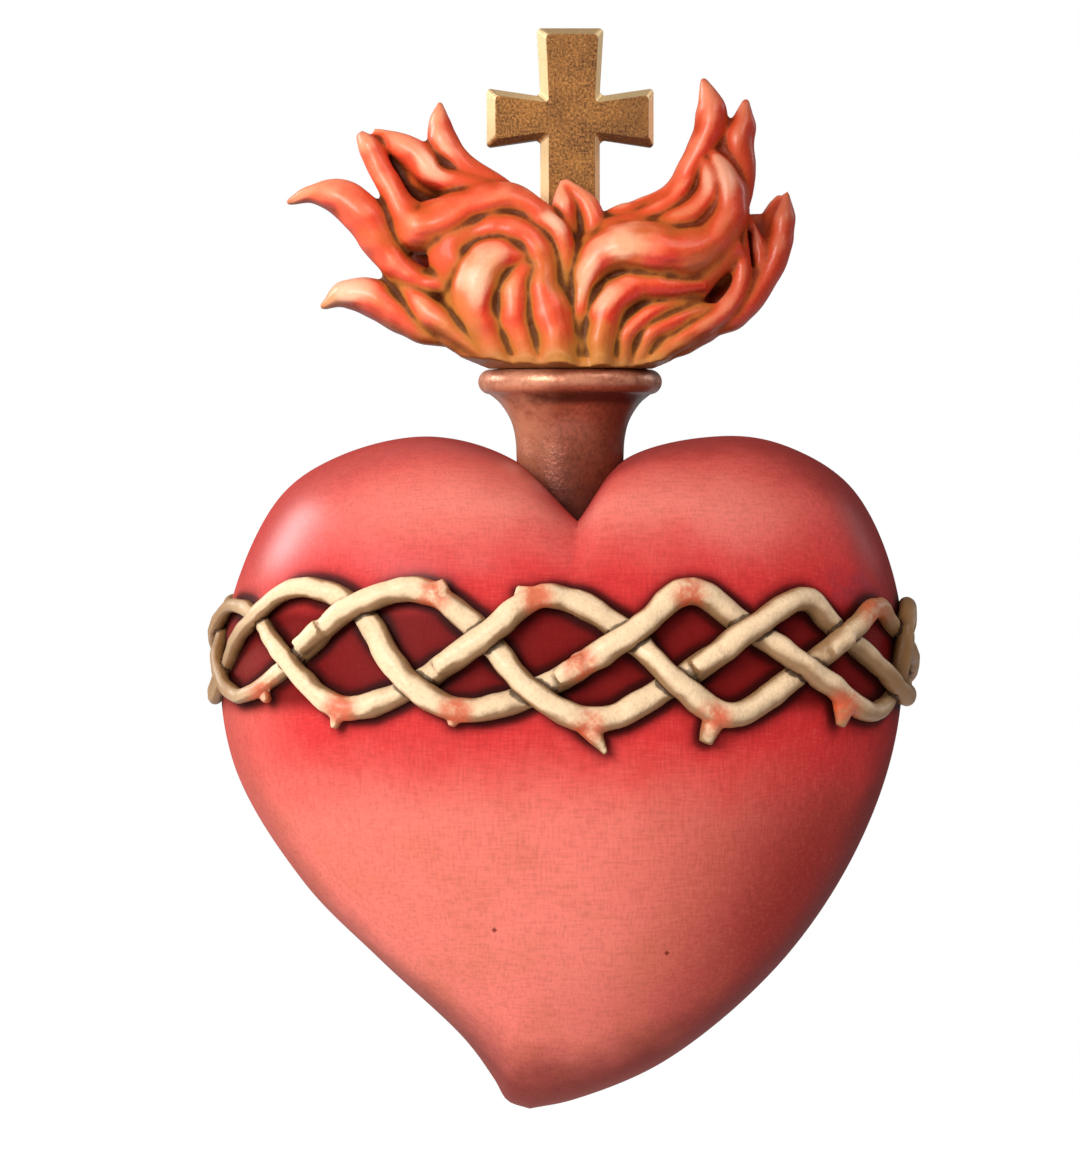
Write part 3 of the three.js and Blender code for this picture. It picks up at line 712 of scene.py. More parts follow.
def soft_radii(outline, reach):
    """The mean radius of the outline within an angle on both sides of each of its points"""
    polar = sorted((math.atan2(point.x, point.z), point.length) for point in outline)
    slots = 720
    radii = []
    index = 0
    for slot in range(slots):
        angle = -math.pi + 2 * math.pi * slot / slots
        while index < len(polar) - 1 and polar[index][0] < angle:
            index += 1
        radii.append(polar[index][1])
    samples = 48
    found = []
    for point in outline:
        angle = math.atan2(point.x, point.z)
        total = 0
        for i in range(samples):
            turned = angle + reach * ((2 * i + 1) / samples - 1)
            total += radii[round((turned + math.pi) / (2 * math.pi) * slots) % slots]
        found.append(total / samples)
    return found


def heart_rings(heart):
    """Rings from the bottom of the nail hole over the back and the side to the middle of the front: the
    share of the outline, the radius of the hole there and the distance from the wall"""
    rings = [(0, 0, heart.hole_depth), (0, heart.hole_radius, heart.hole_depth), (0, heart.hole_radius, 0)]
    for i in range(1, BACK_RINGS + 1):
        rings.append((heart.back_share * i / BACK_RINGS, heart.hole_radius * (1 - i / BACK_RINGS), 0))
    for i in range(1, SIDE_RINGS + 1):
        bend = i / SIDE_RINGS * math.pi / 2
        rings.append((mix(heart.back_share, 1, math.sin(bend)), 0, heart.rim_depth * (1 - math.cos(bend))))
    for i in range(1, FRONT_RINGS + 1):
        bend = i / FRONT_RINGS * math.pi / 2
        reach = 0 if i == FRONT_RINGS else math.cos(bend) ** (2 / heart.fullness)
        rings.append((reach, 0, mix(heart.rim_depth, heart.depth, math.sin(bend))))
    return rings


def heart_shape(heart):
    """A sphere whose rings take the places of the heart's"""
    outline = heart_outline(heart.height, heart.around)
    soft = soft_radii(outline, heart.softening)
    rings = heart_rings(heart)
    hole = Vector((0, 0, heart.hole_height))
    shape = bmesh.new()
    bmesh.ops.create_uvsphere(shape, u_segments=heart.around, v_segments=len(rings) - 1, radius=1)
    edge = shape.verts.layers.float.new("edge")
    side = shape.verts.layers.float.new("side")
    for vert in shape.verts:
        ring = round(math.acos(min(max(vert.co.z, -1), 1)) / math.pi * (len(rings) - 1))
        turn = round(math.atan2(vert.co.y, vert.co.x) / (2 * math.pi) * heart.around) % heart.around
        reach, hole_radius, depth = rings[ring]
        rim = outline[turn]
        direction = rim.normalized()
        firmness = mix(heart.tip_firmness, heart.cleft_firmness, stepped(direction.z, -0.2, 0.7))
        radius = reach * mix(soft[turn], rim.length, reach ** firmness)
        on_back = ring < HOLE_RINGS + BACK_RINGS
        centre = hole * (1 - min(reach / heart.back_share, 1)) if on_back else Vector()
        vert.co = centre + direction * (radius + hole_radius) - Vector((0, depth, 0))
        if depth > heart.rim_depth:
            vert.co.y += heart.unevenness * (1 - reach) * noise.noise(vert.co / HEART_RIPPLE)
        vert[edge] = reach
        vert[side] = 0 if on_back else depth / heart.rim_depth
    face_out(shape)
    return shape


def sink(shape, depths):
    """Moves each vertex inwards"""
    shape.normal_update()
    moves = [vert.normal * depth for vert, depth in zip(shape.verts, depths)]
    for vert, move in zip(shape.verts, moves):
        vert.co -= move


def roughen(shape, amount, size):
    """Moves the surface in and out a little, as a carver's knife leaves it"""
    sink(shape, [amount * noise.noise(vert.co / size) for vert in shape.verts])


def heart_finish(heart):
    finish = Finish("heart_paint", heart.coral, {
        "Roughness": 0.5, "Coat Roughness": 0.34, "Specular IOR Level": 0.06})
    across, up = finish.part(0), finish.part(2)
    edge = finish.attribute("edge")
    cloud = finish.noise(11 * mm, 4, 0.6)
    stray = cloud - 0.5
    grain = finish.noise(0.7 * mm, 3, 0.7)
    threads = finish.noise(0.8 * mm, 2, 0.5, (0.25, 1, 2)) + finish.noise(0.8 * mm, 2, 0.5, (2, 1, 0.25))

    # Painted light: salmon over the lower half and the tops of the lobes, paler as if more light fell there
    lower_painted_light = up.between(-16 * mm, -58 * mm)
    finish.cover(lower_painted_light * 0.25, heart.salmon)
    lobes = up.between(24 * mm, 34 * mm) * edge.between(0.97, 0.8)
    finish.cover(lobes * 0.5, heart.salmon)
    finish.cover(grain.between(0.3, 0.8) * 0.18, heart.salmon)
    # Painted shade: deep red and dark red over the lower right
    low_right_shade = across.between(0, 55 * mm) * up.between(30 * mm, -60 * mm)
    finish.cover(low_right_shade, heart.deep)
    finish.cover(low_right_shade * (edge.between(0.5, 0.95) * 0.35 + 0.45), heart.shade)
    # Painted shade: crimson along the upper outline of the lobes, and deep red towards the whole outline,
    # more on the right
    lobe_edge_shade = (edge + stray * 0.2).between(0.7, 0.98) * up.between(8 * mm, 30 * mm)
    finish.cover(lobe_edge_shade * 0.5, heart.crimson)
    shade_to_right = across.between(-45 * mm, 45 * mm) * 0.2 + 0.15
    finish.cover((edge + stray * 0.2).between(0.6, 1.05) * shade_to_right, heart.deep)

    beside_crown = ((up - 6.5 * mm).size() + stray * (12 * mm)).between(32 * mm, 13 * mm)
    from_left = across.between(-62 * mm, -45 * mm) * 0.65 + 0.25
    finish.cover(beside_crown * from_left, heart.crimson)
    stain = finish.noise(13 * mm, 4, 0.7).between(0.42, 0.66) * up.between(-8 * mm, -30 * mm)
    finish.cover(stain * across.between(42 * mm, 12 * mm) * 0.3, heart.ochre)
    finish.cover(threads.between(0.92, 1.25) * 0.16, heart.shade)
    finish.cover(threads.between(0.92, 0.7) * 0.07, heart.salmon)
    # Painted shade along the outline, strongest down and to the right
    rim = (edge + stray * 0.08).between(0.88, 0.99)
    shade_down_right = (across - up).between(-60 * mm, 60 * mm) * 0.5 + 0.3
    finish.cover(rim * shade_down_right, heart.shade)

    near_strokes = (across - 53 * mm).size().between(7 * mm, 2 * mm)
    strokes = near_strokes * (up - 19 * mm).size().between(5 * mm, 1 * mm)
    finish.cover(strokes * finish.noise(4 * mm, 2).between(0.3, 0.6) * 0.45, heart.violet)
    # A darker paint in the crown's openings, with painted shade laid over it there
    openings_paint_and_shade = (up - 6 * mm).size().between(11 * mm, 7 * mm)
    finish.cover(openings_paint_and_shade * 0.85, heart.glaze_and_shade)
    # Painted shadow on the heart along the stems, with a dark painted contact line next to them
    crown_shadow = finish.attribute("crown_shadow")
    finish.cover(crown_shadow * 0.8, heart.glaze_and_shade)
    finish.cover(crown_shadow.between(0.35, 1.0) * 0.85, heart.contact_shadow)
    for x, z in PAINT_DOTS:
        dot = ((across - x * mm).size() + (up - z * mm).size()).between(0.7 * mm, 0.3 * mm)
        finish.cover(dot * 0.8, heart.shade)

    lines = finish.noise(1.6 * mm, 3, 0.6, (1, 1, 0.08)).between(0.3, 0.7)
    bare = finish.blend(lines * 0.5, heart.wood, heart.wood_line)
    finish.cover(finish.attribute("side").between(0.08, 0.0), bare)
    sheen = up.between(18 * mm, 27 * mm) * edge.between(1.0, 0.95) * (across.between(30 * mm, -20 * mm) + 0.3)
    finish.set("Coat Weight", sheen * 0.6)
    finish.bump(grain * 0.6 + cloud + threads * 0.2, 0.12 * mm)
    return finish.finished()


class SACRED_OT_heart(Operator):
    """Carve and paint the heart"""
    bl_idname = "sacred.heart"
    bl_label = "Heart"

    def execute(self, context):
        heart = settings().heart
        piece("painted_heart", heart_shape(heart), heart_finish(heart), "heart")
        return {"FINISHED"}


class HeartSurface:
    """The finished heart's surface, on which the crown is planted"""

    def __init__(self):
        found = bpy.data.objects.get("painted_heart")
        if found is None:
            raise RuntimeError("the crown is planted on the heart, so the heart is made first")
        shape = bmesh.new()
        shape.from_mesh(found.data)
        self.tree = BVHTree.FromBMesh(shape)
        shape.free()
        self.heart = settings().heart

    def outwards(self, point):
        """Level, from the heart's upright axis to a point"""
        return Vector((point.x, point.y + self.heart.rim_depth, 0)).normalized()

    def around(self, degrees, height, lift):
        """A point at that angle from the front and that height, lifted off the surface"""
        angle = math.radians(degrees)
        outwards = Vector((math.sin(angle), -math.cos(angle), 0))
        axis = Vector((0, -self.heart.rim_depth, height / 100 * self.heart.height))
        return self.tree.ray_cast(axis, outwards)[0] + outwards * lift

    def ahead(self, x, z, lift):
        """A point seen from the front, lifted off the surface, and further where that turns away"""
        hit, normal = self.tree.ray_cast(Vector((x, -1, z)), -FRONT)[:2]
        facing = max(normal.dot(FRONT), 0.6)
        return hit + FRONT * lift / facing


def crossing(number, by_hand, top, shares):
    """Where two stems cross between a turn and the one before it"""
    if number < 1 or number >= len(BRAID_TURNS):
        return None
    if number in by_hand:
        return by_hand[number]
    along, towards = shares
    near, far = (0, 2) if top else (2, 0)
    between = [mix(a, b, along) for a, b in zip(BRAID_TURNS[number - 1], BRAID_TURNS[number])]
    return between[near], mix(between[near + 1], between[far + 1], towards)


def stem_route(start):
    """One stem goes from the top of a turn down to the bottom of the next and up again to the top of the
    third. It passes under at the first crossing of each slope and over at the second"""
    points = []

    def turn_end(number, end):
        return BRAID_TURNS[number][end:end + 2] if 0 <= number < len(BRAID_TURNS) else None

    for turn in range(start, len(BRAID_TURNS), 3):
        for place, weave in (
            (turn_end(turn, 0), 0),
            (crossing(turn + 1, UPPER_CROSSINGS, True, UPPER_SHARES), -1),
            (crossing(turn + 1, LOWER_CROSSINGS, False, LOWER_SHARES), 1),
            (turn_end(turn + 1, 2), 0),
            (crossing(turn + 2, LOWER_CROSSINGS, False, LOWER_SHARES), -1),
            (crossing(turn + 3, UPPER_CROSSINGS, True, UPPER_SHARES), 1),
        ):
            if place:
                points.append(Vector((*place, weave)))
    return points


def stem_half(degrees):
    """Half a stem's width at an angle from the front"""
    return table_value(STEM_WIDTHS, degrees) * mm


def crown_stem(crown, surface, start):
    """A stem as a rod, and the points of its middle line, each with its half width"""
    samples = 160
    route = Spline(stem_route(start))
    line = []
    for i in range(samples + 1):
        degrees, height, weave = route.at(i / samples)
        lift = weave * (crown.rise if weave > 0 else crown.dip)
        line.append((surface.around(degrees, height, stem_half(degrees) * (1 + lift) - crown.bed), degrees))

    def half(along, centre):
        degrees = math.degrees(math.atan2(centre.x, -centre.y - surface.heart.rim_depth))
        swelling = 1 + STEM_SWELLING * noise.noise(centre / STEM_RIPPLE)
        return stem_half(degrees) * swelling, stem_half(degrees)

    stem = rod(Spline([point for point, _ in line]), half, surface.outwards, steps=300, sides=16)
    return stem, [(point, stem_half(degrees)) for point, degrees in line]


def stem_seams(shape, lines):
    """How near each vertex is to where two stems meet: the difference between its distances to the two
    nearest stems, as shares of their half widths"""
    trees = []
    for line in lines:
        tree = kdtree.KDTree(len(line))
        for i, (point, _) in enumerate(line):
            tree.insert(point, i)
        tree.balance()
        trees.append(tree)
    found = []
    for vert in shape.verts:
        shares = []
        for tree, line in zip(trees, lines):
            _, index, distance = tree.find(vert.co)
            shares.append(distance / line[index][1])
        shares.sort()
        found.append(shares[1] - shares[0])
    return found


def crown_spur(surface, spur, lift):
    """A short straight rod from one place in front of the heart to another"""
    (x, z), (tip_x, tip_z), half_root, half_tip = spur
    line = Spline([surface.ahead(x * mm, z * mm, lift), surface.ahead(tip_x * mm, tip_z * mm, lift)])

    def half(along, centre):
        return [mix(half_root, half_tip, along) * mm] * 2

    return rod(line, half, surface.outwards, steps=12, sides=12)


def crown_blush(vert):
    """How red the paint is at a place: most at the thorns' roots"""
    nearest = min(((vert.co.x - root[0] * mm) ** 2 + (vert.co.z - root[1] * mm) ** 2) for root, *_ in THORNS)
    return 1 - stepped(math.sqrt(nearest), *BLUSH_REACH)


def crown_finish(crown):
    finish = Finish("crown_paint", crown.bone, {
        "Roughness": 0.5, "Coat Roughness": 0.3, "Specular IOR Level": 0.2})
    cloud = finish.noise(3 * mm, 4, 0.65)
    grain = finish.noise(0.7 * mm, 3, 0.6)
    stray = (cloud - 0.5) * 0.5
    finish.cover(grain.between(0.45, 0.85) * 0.3, crown.olive)
    # Painted shade: olive and umber on the flanks that turn away and face down and to the right
    flank_shade = finish.attribute("flank_shade") + stray * 0.7
    finish.cover(flank_shade.between(0.12, 0.58) * 0.9, crown.olive)
    finish.cover(flank_shade.between(0.8, 1.5) * 0.45, crown.umber)
    finish.cover(finish.attribute("blush") * cloud.between(0.25, 0.6) * 0.85, crown.blush)
    # Painted shade on the stems where they wrap round the sides
    ends = finish.part(0).size().between(52 * mm, 64 * mm)
    finish.cover(ends * 0.8, crown.olive)
    # Painted shade in the grooves
    groove = finish.attribute("groove") + stray * 0.02
    finish.cover(groove.between(-0.01, 0.1) * 0.7, crown.umber)
    # Painted shadow along the seams where the stems meet
    seam = finish.attribute("seam")
    finish.cover((seam + stray * 0.05).between(0.34, 0.0) * 0.8, crown.umber)
    finish.set("Coat Weight", seam.between(0.2, 0.7) * 0.3)
    finish.bump(grain + cloud, 0.16 * mm)
    return finish.finished()


def shaded_flank(vert, outwards):
    """How far the surface turns away from outwards, and more so where it faces down and to the right, where
    painted shade is laid
    """
    away = 1 - vert.normal.dot(outwards)
    return away + 0.35 * (vert.normal.x - vert.normal.z)


def mark_crown_shadow(crown_shape):
    """Marks the heart's surface that lies close to the crown, where a painted shadow is laid"""
    heart = bpy.data.objects["painted_heart"].data
    tree = BVHTree.FromBMesh(crown_shape)
    layer = heart.attributes.new("crown_shadow", "FLOAT", "POINT")
    for vert, mark in zip(heart.vertices, layer.data):
        distance = tree.find_nearest(vert.co, CROWN_SHADOW_REACH[1])[3]
        mark.value = 0 if distance is None else 1 - stepped(distance, *CROWN_SHADOW_REACH)


class SACRED_OT_crown(Operator):
    """Carve and paint the crown of thorns"""
    bl_idname = "sacred.crown"
    bl_label = "Crown of thorns"

    def execute(self, context):
        crown = settings().crown
        surface = HeartSurface()
        stems, lines = zip(*[crown_stem(crown, surface, start) for start in (-2, -1, 0)])
        thorns = [crown_spur(surface, thorn, crown.thorn_lift) for thorn in THORNS]
        ends = [crown_spur(surface, end, crown.end_lift) for end in STEM_ENDS]
        shape = carved([*stems, *thorns, *ends], crown.grain, crown.rounds)
        roughen(shape, crown.unevenness, CROWN_RIPPLE)
        seams = stem_seams(shape, lines)
        sink(shape, [crown.seam_depth * (1 - stepped(seam, 0, crown.seam_width)) for seam in seams])
        write_layer(shape, "seam", seams)
        cut_off(shape, Vector((0, -crown.wall_gap, 0)), -FRONT)
        shape.normal_update()
        write_layer(shape, "groove", [depth / mm for depth in hollows(shape, GROOVE_ROUNDS)])
        write_layer(shape, "blush", [crown_blush(vert) for vert in shape.verts])
        write_layer(shape, "flank_shade", [shaded_flank(vert, surface.outwards(vert.co)) for vert in shape.verts])
        mark_crown_shadow(shape)
        piece("thorny_crown", shape, crown_finish(crown), "crown_of_thorns")
        return {"FINISHED"}


def neck_shape(neck):
    """The profile spun round the neck's axis"""
    lip = neck.rim_thickness / 2
    profile = [Vector((radius, 0, -drop)) * mm for radius, drop in NECK_PROFILE]
    line = Spline(profile).evenly(steps=30)
    lip_steps = 16
    for i in range(1, lip_steps + 1):
        bend = mix(-90, 90, i / lip_steps)
        out = Vector((math.cos(math.radians(bend)), 0, math.sin(math.radians(bend)))) * lip
        line.append(Vector((neck.rim_radius - lip, 0, -lip)) + out)
    line = [Vector((0, 0, line[0].z))] + line + [Vector((0, 0, 0))]
    place = Vector((axis_x, axis_y, neck_high.z))
    shape = bmesh.new()
    verts = [shape.verts.new(point + place) for point in line]
    edges = [shape.edges.new(pair) for pair in zip(verts, verts[1:])]
    bmesh.ops.spin(
        shape, geom=verts + edges, cent=place, axis=(0, 0, 1), angle=2 * math.pi, steps=neck.steps,
        use_merge=True)
    bmesh.ops.remove_doubles(shape, verts=shape.verts, dist=TOUCHING)
    face_out(shape)
    return shape


def neck_finish(neck):
    finish = Finish("neck_paint", neck.copper, {
        "Roughness": 0.34, "Metallic": 0.3, "Coat Weight": 0.25, "Coat Roughness": 0.25,
        "Specular IOR Level": 0.25})
    cloud = finish.noise(4 * mm, 4, 0.65)
    grain = finish.noise(0.8 * mm, 3, 0.6)
    across = finish.part(0) - axis_x
    drop = neck_high.z - finish.part(2)
    low = (drop + (cloud - 0.5) * (14 * mm)).between(9 * mm, 27 * mm)
    finish.cover(grain.between(0.35, 0.75) * 0.4, neck.glaze_and_shade)
    # Painted shade: darker towards the foot, under the lip and to the right
    finish.cover(low * 0.85, neck.glaze_and_shade)
    shade_under_lip = (drop - 5.4 * mm).size().between(1.8 * mm, 0.3 * mm)
    finish.cover(shade_under_lip * 0.8, neck.glaze_and_shade)
    shade_to_right = across.between(1 * mm, 14 * mm) * (drop.between(3 * mm, 6 * mm) * 0.7 + 0.3)
    finish.cover(shade_to_right * 0.5, neck.glaze_and_shade)
    # Painted highlight: pale copper in cloudy patches on the left side and along the rim
    cloudy_patches = across.between(-1 * mm, -9 * mm) * (1 - low) * cloud.between(0.2, 0.6)
    finish.cover(cloudy_patches * 0.75, neck.copper_highlight)
    lip = (drop - 1.9 * mm).size().between(1.5 * mm, 0.3 * mm) * cloud.between(0.3, 0.6)
    finish.cover(lip * 0.7, neck.copper_highlight)
    finish.bump(grain + cloud, 0.12 * mm)
    return finish.finished()


class SACRED_OT_neck(Operator):
    """Turn and paint the flared neck"""
    bl_idname = "sacred.neck"
    bl_label = "Neck"

    def execute(self, context):
        neck = settings().neck
        piece("flared_neck", neck_shape(neck), neck_finish(neck), "neck")
        return {"FINISHED"}


def lick_rods(flames, rim_radius, lick, depth, reach):
    """One lick from its root on the rim to its tip, and the skirt behind it. depth is the lick's depth as a
    share of its width, and reach says how much of the way from the neck's axis to the front of the rim its
    root lies forwards"""
    base = Vector((axis_x, axis_y, flames_low.z))
    scale = flames.height / 100
    last = len(lick["run"]) - 1
    points = []
    for i, (right, up, _) in enumerate(lick["run"]):
        points.append(base + Vector((right, -mix(*lick["front"], i / last), up)) * scale)
    swell = flames.swell if "skirt" in lick else 1
    halves = [half * scale * swell for *_, half in lick["run"]]
    if "root" in lick:
        root_radius = rim_radius * flames.root_reach
        forwards = reach * math.sqrt(1 - lick["root"] ** 2) * root_radius
        root = Vector((lick["root"] * root_radius, -forwards, -flames.root_sink * flames.height))
        points.insert(0, base + root)
        halves.insert(0, halves[0] * flames.root_width)
    widths = Spline([Vector((i * scale, half, 0)) for i, half in enumerate(halves)])

    def half(along, centre):
        width = max(widths.at(along).y, 0.1 * scale)
        return width, width * depth

    def skirt_half(along, centre):
        width, thick = half(along, centre)
        return width * (1 + flames.skirt_width * lick["skirt"] * (1 - along)), thick * flames.skirt_depth

    steps = 12 * len(points)
    sides = 18
    rods = [rod(Spline(points), half, lambda centre: FRONT, steps, sides, flames.fullness)]
    if "skirt" in lick:
        sunk = [point - FRONT * width * flames.skirt_sink for point, width in zip(points, halves)]
        rods.append(rod(Spline(sunk), skirt_half, lambda centre: FRONT, steps, sides))
    return rods


def pale_share(point):
    """How near a point lies to one of the pale places, seen from the front"""
    return max(1 - stepped(math.hypot(point.x - x * mm, point.z - z * mm), 0, reach * mm)
               for x, z, reach in PALE_PLACES)


def flame_finish(flames):
    finish = Finish("flame_paint", flames.orange, {
        "Roughness": 0.5, "Coat Roughness": 0.25, "Specular IOR Level": 0.15})
    across, up = finish.part(0), finish.part(2)
    cloud = finish.noise(5 * mm, 4, 0.65)
    grain = finish.noise(0.8 * mm, 3, 0.6)
    stray = (cloud - 0.5) * 0.5
    fine, broad = finish.attribute("fine"), finish.attribute("broad")
    slope = finish.attribute("slope")
    # Painted shade: red on the surfaces that face down and to the right
    finish.cover((slope + stray).between(-0.15, 0.4) * 0.85, flames.red)
    pale = finish.attribute("pale")
    # Painted highlight: peach and cream on the crests, more on the sides that face up and to the left
    crest_highlight = (broad + slope * 0.22 + stray * 0.5 - pale * 0.3).between(-0.2, -0.55)
    finish.cover(crest_highlight * (pale * 0.3 + 0.65), flames.peach_highlight)
    finish.cover(crest_highlight * pale * 0.35, flames.cream_highlight)
    # Painted shade: deeper red off the crests, towards the hollows
    finish.cover((broad + stray * 0.3).between(-0.2, 0.1) * 0.75, flames.red)
    tips = broad.between(-0.42, -0.8)
    finish.cover(tips * 0.55, flames.deep)

    low = up.between(96 * mm, 70 * mm)
    patches = finish.noise(9 * mm, 2).between(0.48, 0.66)
    finish.cover(patches * (low * 0.4 + 0.1), flames.olive)
    grooves = (broad + stray * 0.5).between(-0.22, 0.25)
    finish.cover(grooves * (low * 0.5 + 0.4), flames.olive)
    roots = up.between(69 * mm, 60 * mm)
    finish.cover(roots * (stray + 0.8), flames.olive)
    # Painted shade: umber in the hollows, in the fine creases and on the undersides
    finish.cover((broad + stray * 0.1).between(0.06, 0.42) * 0.85, flames.umber)
    finish.cover(fine.between(0.008, 0.045) * 0.75, flames.umber)
    finish.cover(finish.attribute("below").between(0.35, 0.85) * 0.75, flames.umber)
    # Painted shade over the licks on the right
    shade_to_right = across.between(14 * mm, 42 * mm)
    finish.cover(shade_to_right * 0.7, flames.deep)
    finish.cover(grain.between(0.5, 0.8) * 0.2, flames.olive)
    finish.set("Coat Weight", (fine * 3 + broad).between(0.0, -0.25) * 0.4)
    finish.bump(grain + cloud, 0.14 * mm)
    return finish.finished()


def tuck_in(shape, flames, rim_radius):
    """Draws the roots in on to the rim where they would stand over its edge"""
    for vert in shape.verts:
        outwards = Vector((vert.co.x - axis_x, vert.co.y - axis_y, 0))
        limit = rim_radius * flames.seat + (vert.co.z - neck_high.z) * flames.spread
        if outwards.length > limit:
            vert.co -= outwards * (1 - limit / outwards.length)


class SACRED_OT_flames(Operator):
    """Carve and paint the flames"""
    bl_idname = "sacred.flames"
    bl_label = "Flames"

    def execute(self, context):
        flames = settings().flames
        rim_radius = settings().neck.rim_radius
        rods = []
        for lick in LICKS:
            rods += lick_rods(flames, rim_radius, lick, flames.lick_depth, 1)
        for lick in BACK_LICKS:
            rods += lick_rods(flames, rim_radius, lick, flames.back_lick_depth, flames.back_root_reach)
        shape = carved(rods, flames.grain, flames.rounds)
        sink(shape, [-flames.filling * max(depth, 0) for depth in hollows(shape, BROAD_ROUNDS)])
        roughen(shape, flames.unevenness, FLAME_RIPPLE)
        tuck_in(shape, flames, rim_radius)
        cut_off(shape, Vector((0, 0, neck_high.z + FLAME_GAP)), Vector((0, 0, -1)))
        shape.normal_update()
        # The slope is how far the surface faces down and to the right, where the shade lies
        write_layer(shape, "slope", [0.6 * vert.normal.x - 0.8 * vert.normal.z for vert in shape.verts])
        write_layer(shape, "below", [-vert.normal.z for vert in shape.verts])
        write_layer(shape, "pale", [pale_share(vert.co) for vert in shape.verts])
        for name, rounds in (("fine", FINE_ROUNDS), ("broad", BROAD_ROUNDS)):
            depths = [depth / mm for depth in hollows(shape, rounds)]
            write_layer(shape, name, evened(shape, depths, MARK_ROUNDS))
        piece("carved_flames", shape, flame_finish(flames), "flames")
        return {"FINISHED"}


def cross_shape(cross):
    """The outline extruded, with its edges chamfered"""
    low, high = cross_low, cross_high
    centre = Vector(((low.x + high.x) / 2, (low.y + high.y) / 2, low.z))
    height, span, thickness = high.z - low.z, high.x - low.x, high.y - low.y
    half = cross.shaft_width / 2
    arm = height - cross.arm_drop
    right = [
        (half, 0), (half, arm - cross.arm_inner / 2), (span / 2, arm - cross.arm_end / 2),
        (span / 2, arm + cross.arm_end / 2), (half, arm + cross.arm_inner / 2), (cross.top_width / 2, height),
    ]
    outline = right + [(-x, z) for x, z in reversed(right)]
    shape = bmesh.new()
    bright_leaf_and_highlight = shape.faces.layers.float.new("bright_leaf_and_highlight")
    verts = [shape.verts.new(centre + Vector((x, -thickness / 2, z))) for x, z in outline]
    front = shape.faces.new(verts)
    back = bmesh.ops.extrude_face_region(shape, geom=[front])
    moved = [item for item in back["geom"] if isinstance(item, bmesh.types.BMVert)]
    bmesh.ops.translate(shape, verts=moved, vec=(0, thickness, 0))
    face_out(shape)

    def bevelled(edges, width, segments):
        bmesh.ops.bevel(
            shape, geom=edges, offset=width, affect="EDGES", segments=segments, profile=0.5, material=-1,
            clamp_overlap=True)

    def runs_through(edge):
        return abs(edge.verts[0].co.y - edge.verts[1].co.y) > thickness / 2

    bevelled([edge for edge in shape.edges if not runs_through(edge)], cross.chamfer, 1)
    shape.normal_update()
    flat = [face for face in shape.faces if face.normal.y < -0.99]
    bmesh.ops.translate(shape, verts=list({vert for face in flat for vert in face.verts}), vec=cross.lean)
    corners = [edge for edge in shape.edges if abs(edge.verts[0].co.y - edge.verts[1].co.y) > 0.1 * mm]
    bevelled(corners, cross.corner, 3)
    least_turn = 0.6
    sharp = [edge for edge in shape.edges if edge.calc_face_angle(0) > least_turn]
    bevelled(sharp, cross.edge_radius, 2)
    shape.normal_update()
    # Painted light on the leaf: a painted highlight where a chamfer faces sideways or up, and painted shade
    # where it faces down
    for face in shape.faces:
        x, _, z = face.normal
        face[bright_leaf_and_highlight] = 1.4 * abs(x) + min(0.8 * z, 1.3 * z)
    return shape


def cross_finish(cross):
    finish = Finish("gold_leaf", cross.gold, {"Metallic": 0.55})
    across, up = finish.part(0), finish.part(2)
    grain = finish.noise(0.5 * mm, 4, 0.75)
    cloud = finish.noise(6 * mm, 3, 0.6)
    # Brown where the leaf is worn, in cloudy patches
    cloudy_patches = (grain * 0.75 + cloud * 0.25).between(0.34, 0.66)
    finish.cover(cloudy_patches, cross.brown)
    specks = grain.between(0.4, 0.24)
    finish.cover(specks * 0.6, cross.bright_leaf_and_highlight)
    # Painted shade towards the right arm, and darker brown towards the top
    darker_right_and_top = across.between(6 * mm, 14 * mm) * 0.35 + up.between(cross_high.z - 12 * mm, cross_high.z) * 0.3
    finish.cover(darker_right_and_top, cross.brown)
    # Painted highlight on the chamfers that face sideways or up, and painted shade on those that face down
    bright_leaf_and_highlight = finish.attribute("bright_leaf_and_highlight")
    finish.cover(bright_leaf_and_highlight.between(0.2, 1.0) * 0.85, cross.bright_leaf_and_highlight)
    finish.cover((bright_leaf_and_highlight * -1).between(0.1, 0.6) * 0.75, cross.dark)
    behind = finish.part(1) - (cross_low.y + 0.1 * mm)
    finish.cover(behind.between(cross.chamfer, cross.chamfer + 0.4 * mm) * 0.85, cross.dark)
    finish.set("Roughness", cloudy_patches * 0.2 + 0.34)
    finish.bump(grain, 0.1 * mm)
    return finish.finished()


class SACRED_OT_cross(Operator):
    """Shape and gild the cross"""
    bl_idname = "sacred.cross"
    bl_label = "Cross"

    def execute(self, context):
        cross = settings().cross
        made = piece("gilt_cross", cross_shape(cross), cross_finish(cross), "cross")
        made.data.shade_flat()
        return {"FINISHED"}


def add_light(name, place, size, power, tint):
    """A soft rectangular light that faces the heart"""
    light = bpy.data.lights.new(name, "AREA")
    light.shape = "RECTANGLE"
    light.size, light.size_y = size
    light.energy = power
    light.color = tint
    lamp = bpy.data.objects.new(name, light)
    lamp.location = place
    lamp.rotation_euler = (LAMPS_FACE - Vector(place)).to_track_quat("-Z", "Y").to_euler()
    bpy.context.scene.collection.objects.link(lamp)


def add_camera(stage):
    camera = bpy.data.cameras.new("camera")
    camera.sensor_width = 36
    camera.lens = camera.sensor_width * stage.distance / stage.view_height
    camera.clip_start, camera.clip_end = 0.05, 100
    made = bpy.data.objects.new("camera", camera)
    made.location = (stage.view_x, -stage.view_depth - stage.distance, stage.view_z)
    made.rotation_euler = (math.pi / 2, 0, 0)
    bpy.context.scene.collection.objects.link(made)
    bpy.context.scene.camera = made


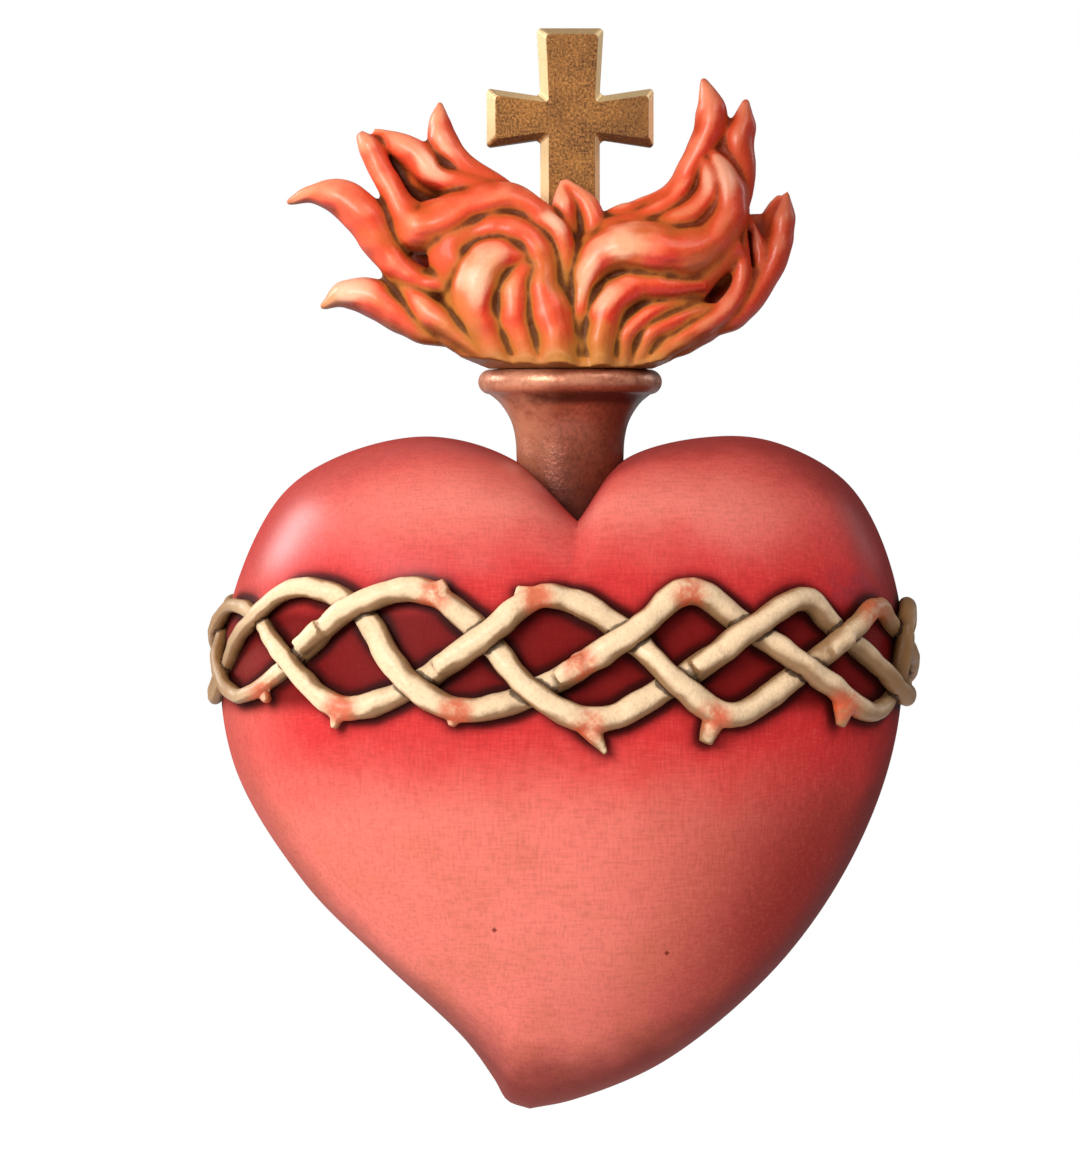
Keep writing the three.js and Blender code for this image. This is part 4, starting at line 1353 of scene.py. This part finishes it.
def add_floor(stage):
    shape = bmesh.new()
    bmesh.ops.create_circle(shape, cap_ends=True, radius=stage.floor_radius, segments=96)
    bmesh.ops.translate(shape, verts=shape.verts, vec=(0, 0, -stage.floor_drop))
    mesh = bpy.data.meshes.new("floor")
    shape.to_mesh(mesh)
    shape.free()
    floor = bpy.data.objects.new("floor", mesh)
    finish = Finish("floor_paint", FLOOR_PAINT, {
        "Roughness": 0.8, "Emission Color": (1, 1, 1), "Emission Strength": FLOOR_GLOW})
    mesh.materials.append(finish.finished())
    bpy.context.scene.collection.objects.link(floor)


def add_world():
    """White where it is seen, and a softer grey light"""
    world = bpy.data.worlds.new("studio")
    world.use_nodes = True
    nodes, links = world.node_tree.nodes, world.node_tree.links
    seen = nodes["Background"]
    seen.inputs["Color"].default_value = (1, 1, 1, 1)
    lighting = nodes.new("ShaderNodeBackground")
    lighting.inputs["Color"].default_value = (1, 1, 1, 1)
    lighting.inputs["Strength"].default_value = ROOM_LIGHT
    choice = nodes.new("ShaderNodeMixShader")
    ray = nodes.new("ShaderNodeLightPath")
    links.new(ray.outputs["Is Camera Ray"], choice.inputs[0])
    links.new(lighting.outputs[0], choice.inputs[1])
    links.new(seen.outputs[0], choice.inputs[2])
    links.new(choice.outputs[0], nodes["World Output"].inputs["Surface"])
    bpy.context.scene.world = world


class SACRED_OT_stage(Operator):
    """Set up the camera, the floor and the soft studio light"""
    bl_idname = "sacred.stage"
    bl_label = "Stage"

    def execute(self, context):
        stage = settings().stage
        add_camera(stage)
        add_floor(stage)
        add_world()
        for lamp in LAMPS:
            add_light(*lamp)
        context.scene.view_settings.view_transform = "Standard"
        return {"FINISHED"}


class SacredHeartSettings(PropertyGroup):
    heart: PointerProperty(type=HeartSettings)
    crown: PointerProperty(type=CrownSettings)
    neck: PointerProperty(type=NeckSettings)
    flames: PointerProperty(type=FlameSettings)
    cross: PointerProperty(type=CrossSettings)
    stage: PointerProperty(type=StageSettings)


STEPS = (SACRED_OT_stage, SACRED_OT_heart, SACRED_OT_crown, SACRED_OT_neck, SACRED_OT_flames, SACRED_OT_cross)


class SACRED_PT_carving(Panel):
    """The steps of the carving and their sizes and colours"""
    bl_idname = "SACRED_PT_carving"
    bl_label = "Sacred Heart"
    bl_space_type = "VIEW_3D"
    bl_region_type = "UI"
    bl_category = "Sacred Heart"

    def draw(self, context):
        for step in STEPS:
            box = self.layout.box()
            box.operator(step.bl_idname)
            group = getattr(settings(), step.bl_idname.split(".")[1])
            for name in group.__annotations__:
                box.prop(group, name)


CLASSES = (
    HeartSettings, CrownSettings, NeckSettings, FlameSettings, CrossSettings, StageSettings,
    SacredHeartSettings, *STEPS, SACRED_PT_carving,
)


def register():
    for item in CLASSES:
        bpy.utils.register_class(item)
    bpy.types.Scene.sacred_heart = PointerProperty(type=SacredHeartSettings)


def unregister():
    del bpy.types.Scene.sacred_heart
    for item in reversed(CLASSES):
        bpy.utils.unregister_class(item)


def main():
    register()
    for step in (
        bpy.ops.sacred.stage, bpy.ops.sacred.heart, bpy.ops.sacred.crown, bpy.ops.sacred.neck,
        bpy.ops.sacred.flames, bpy.ops.sacred.cross,
    ):
        step()


if __name__ == "__main__":
    main()
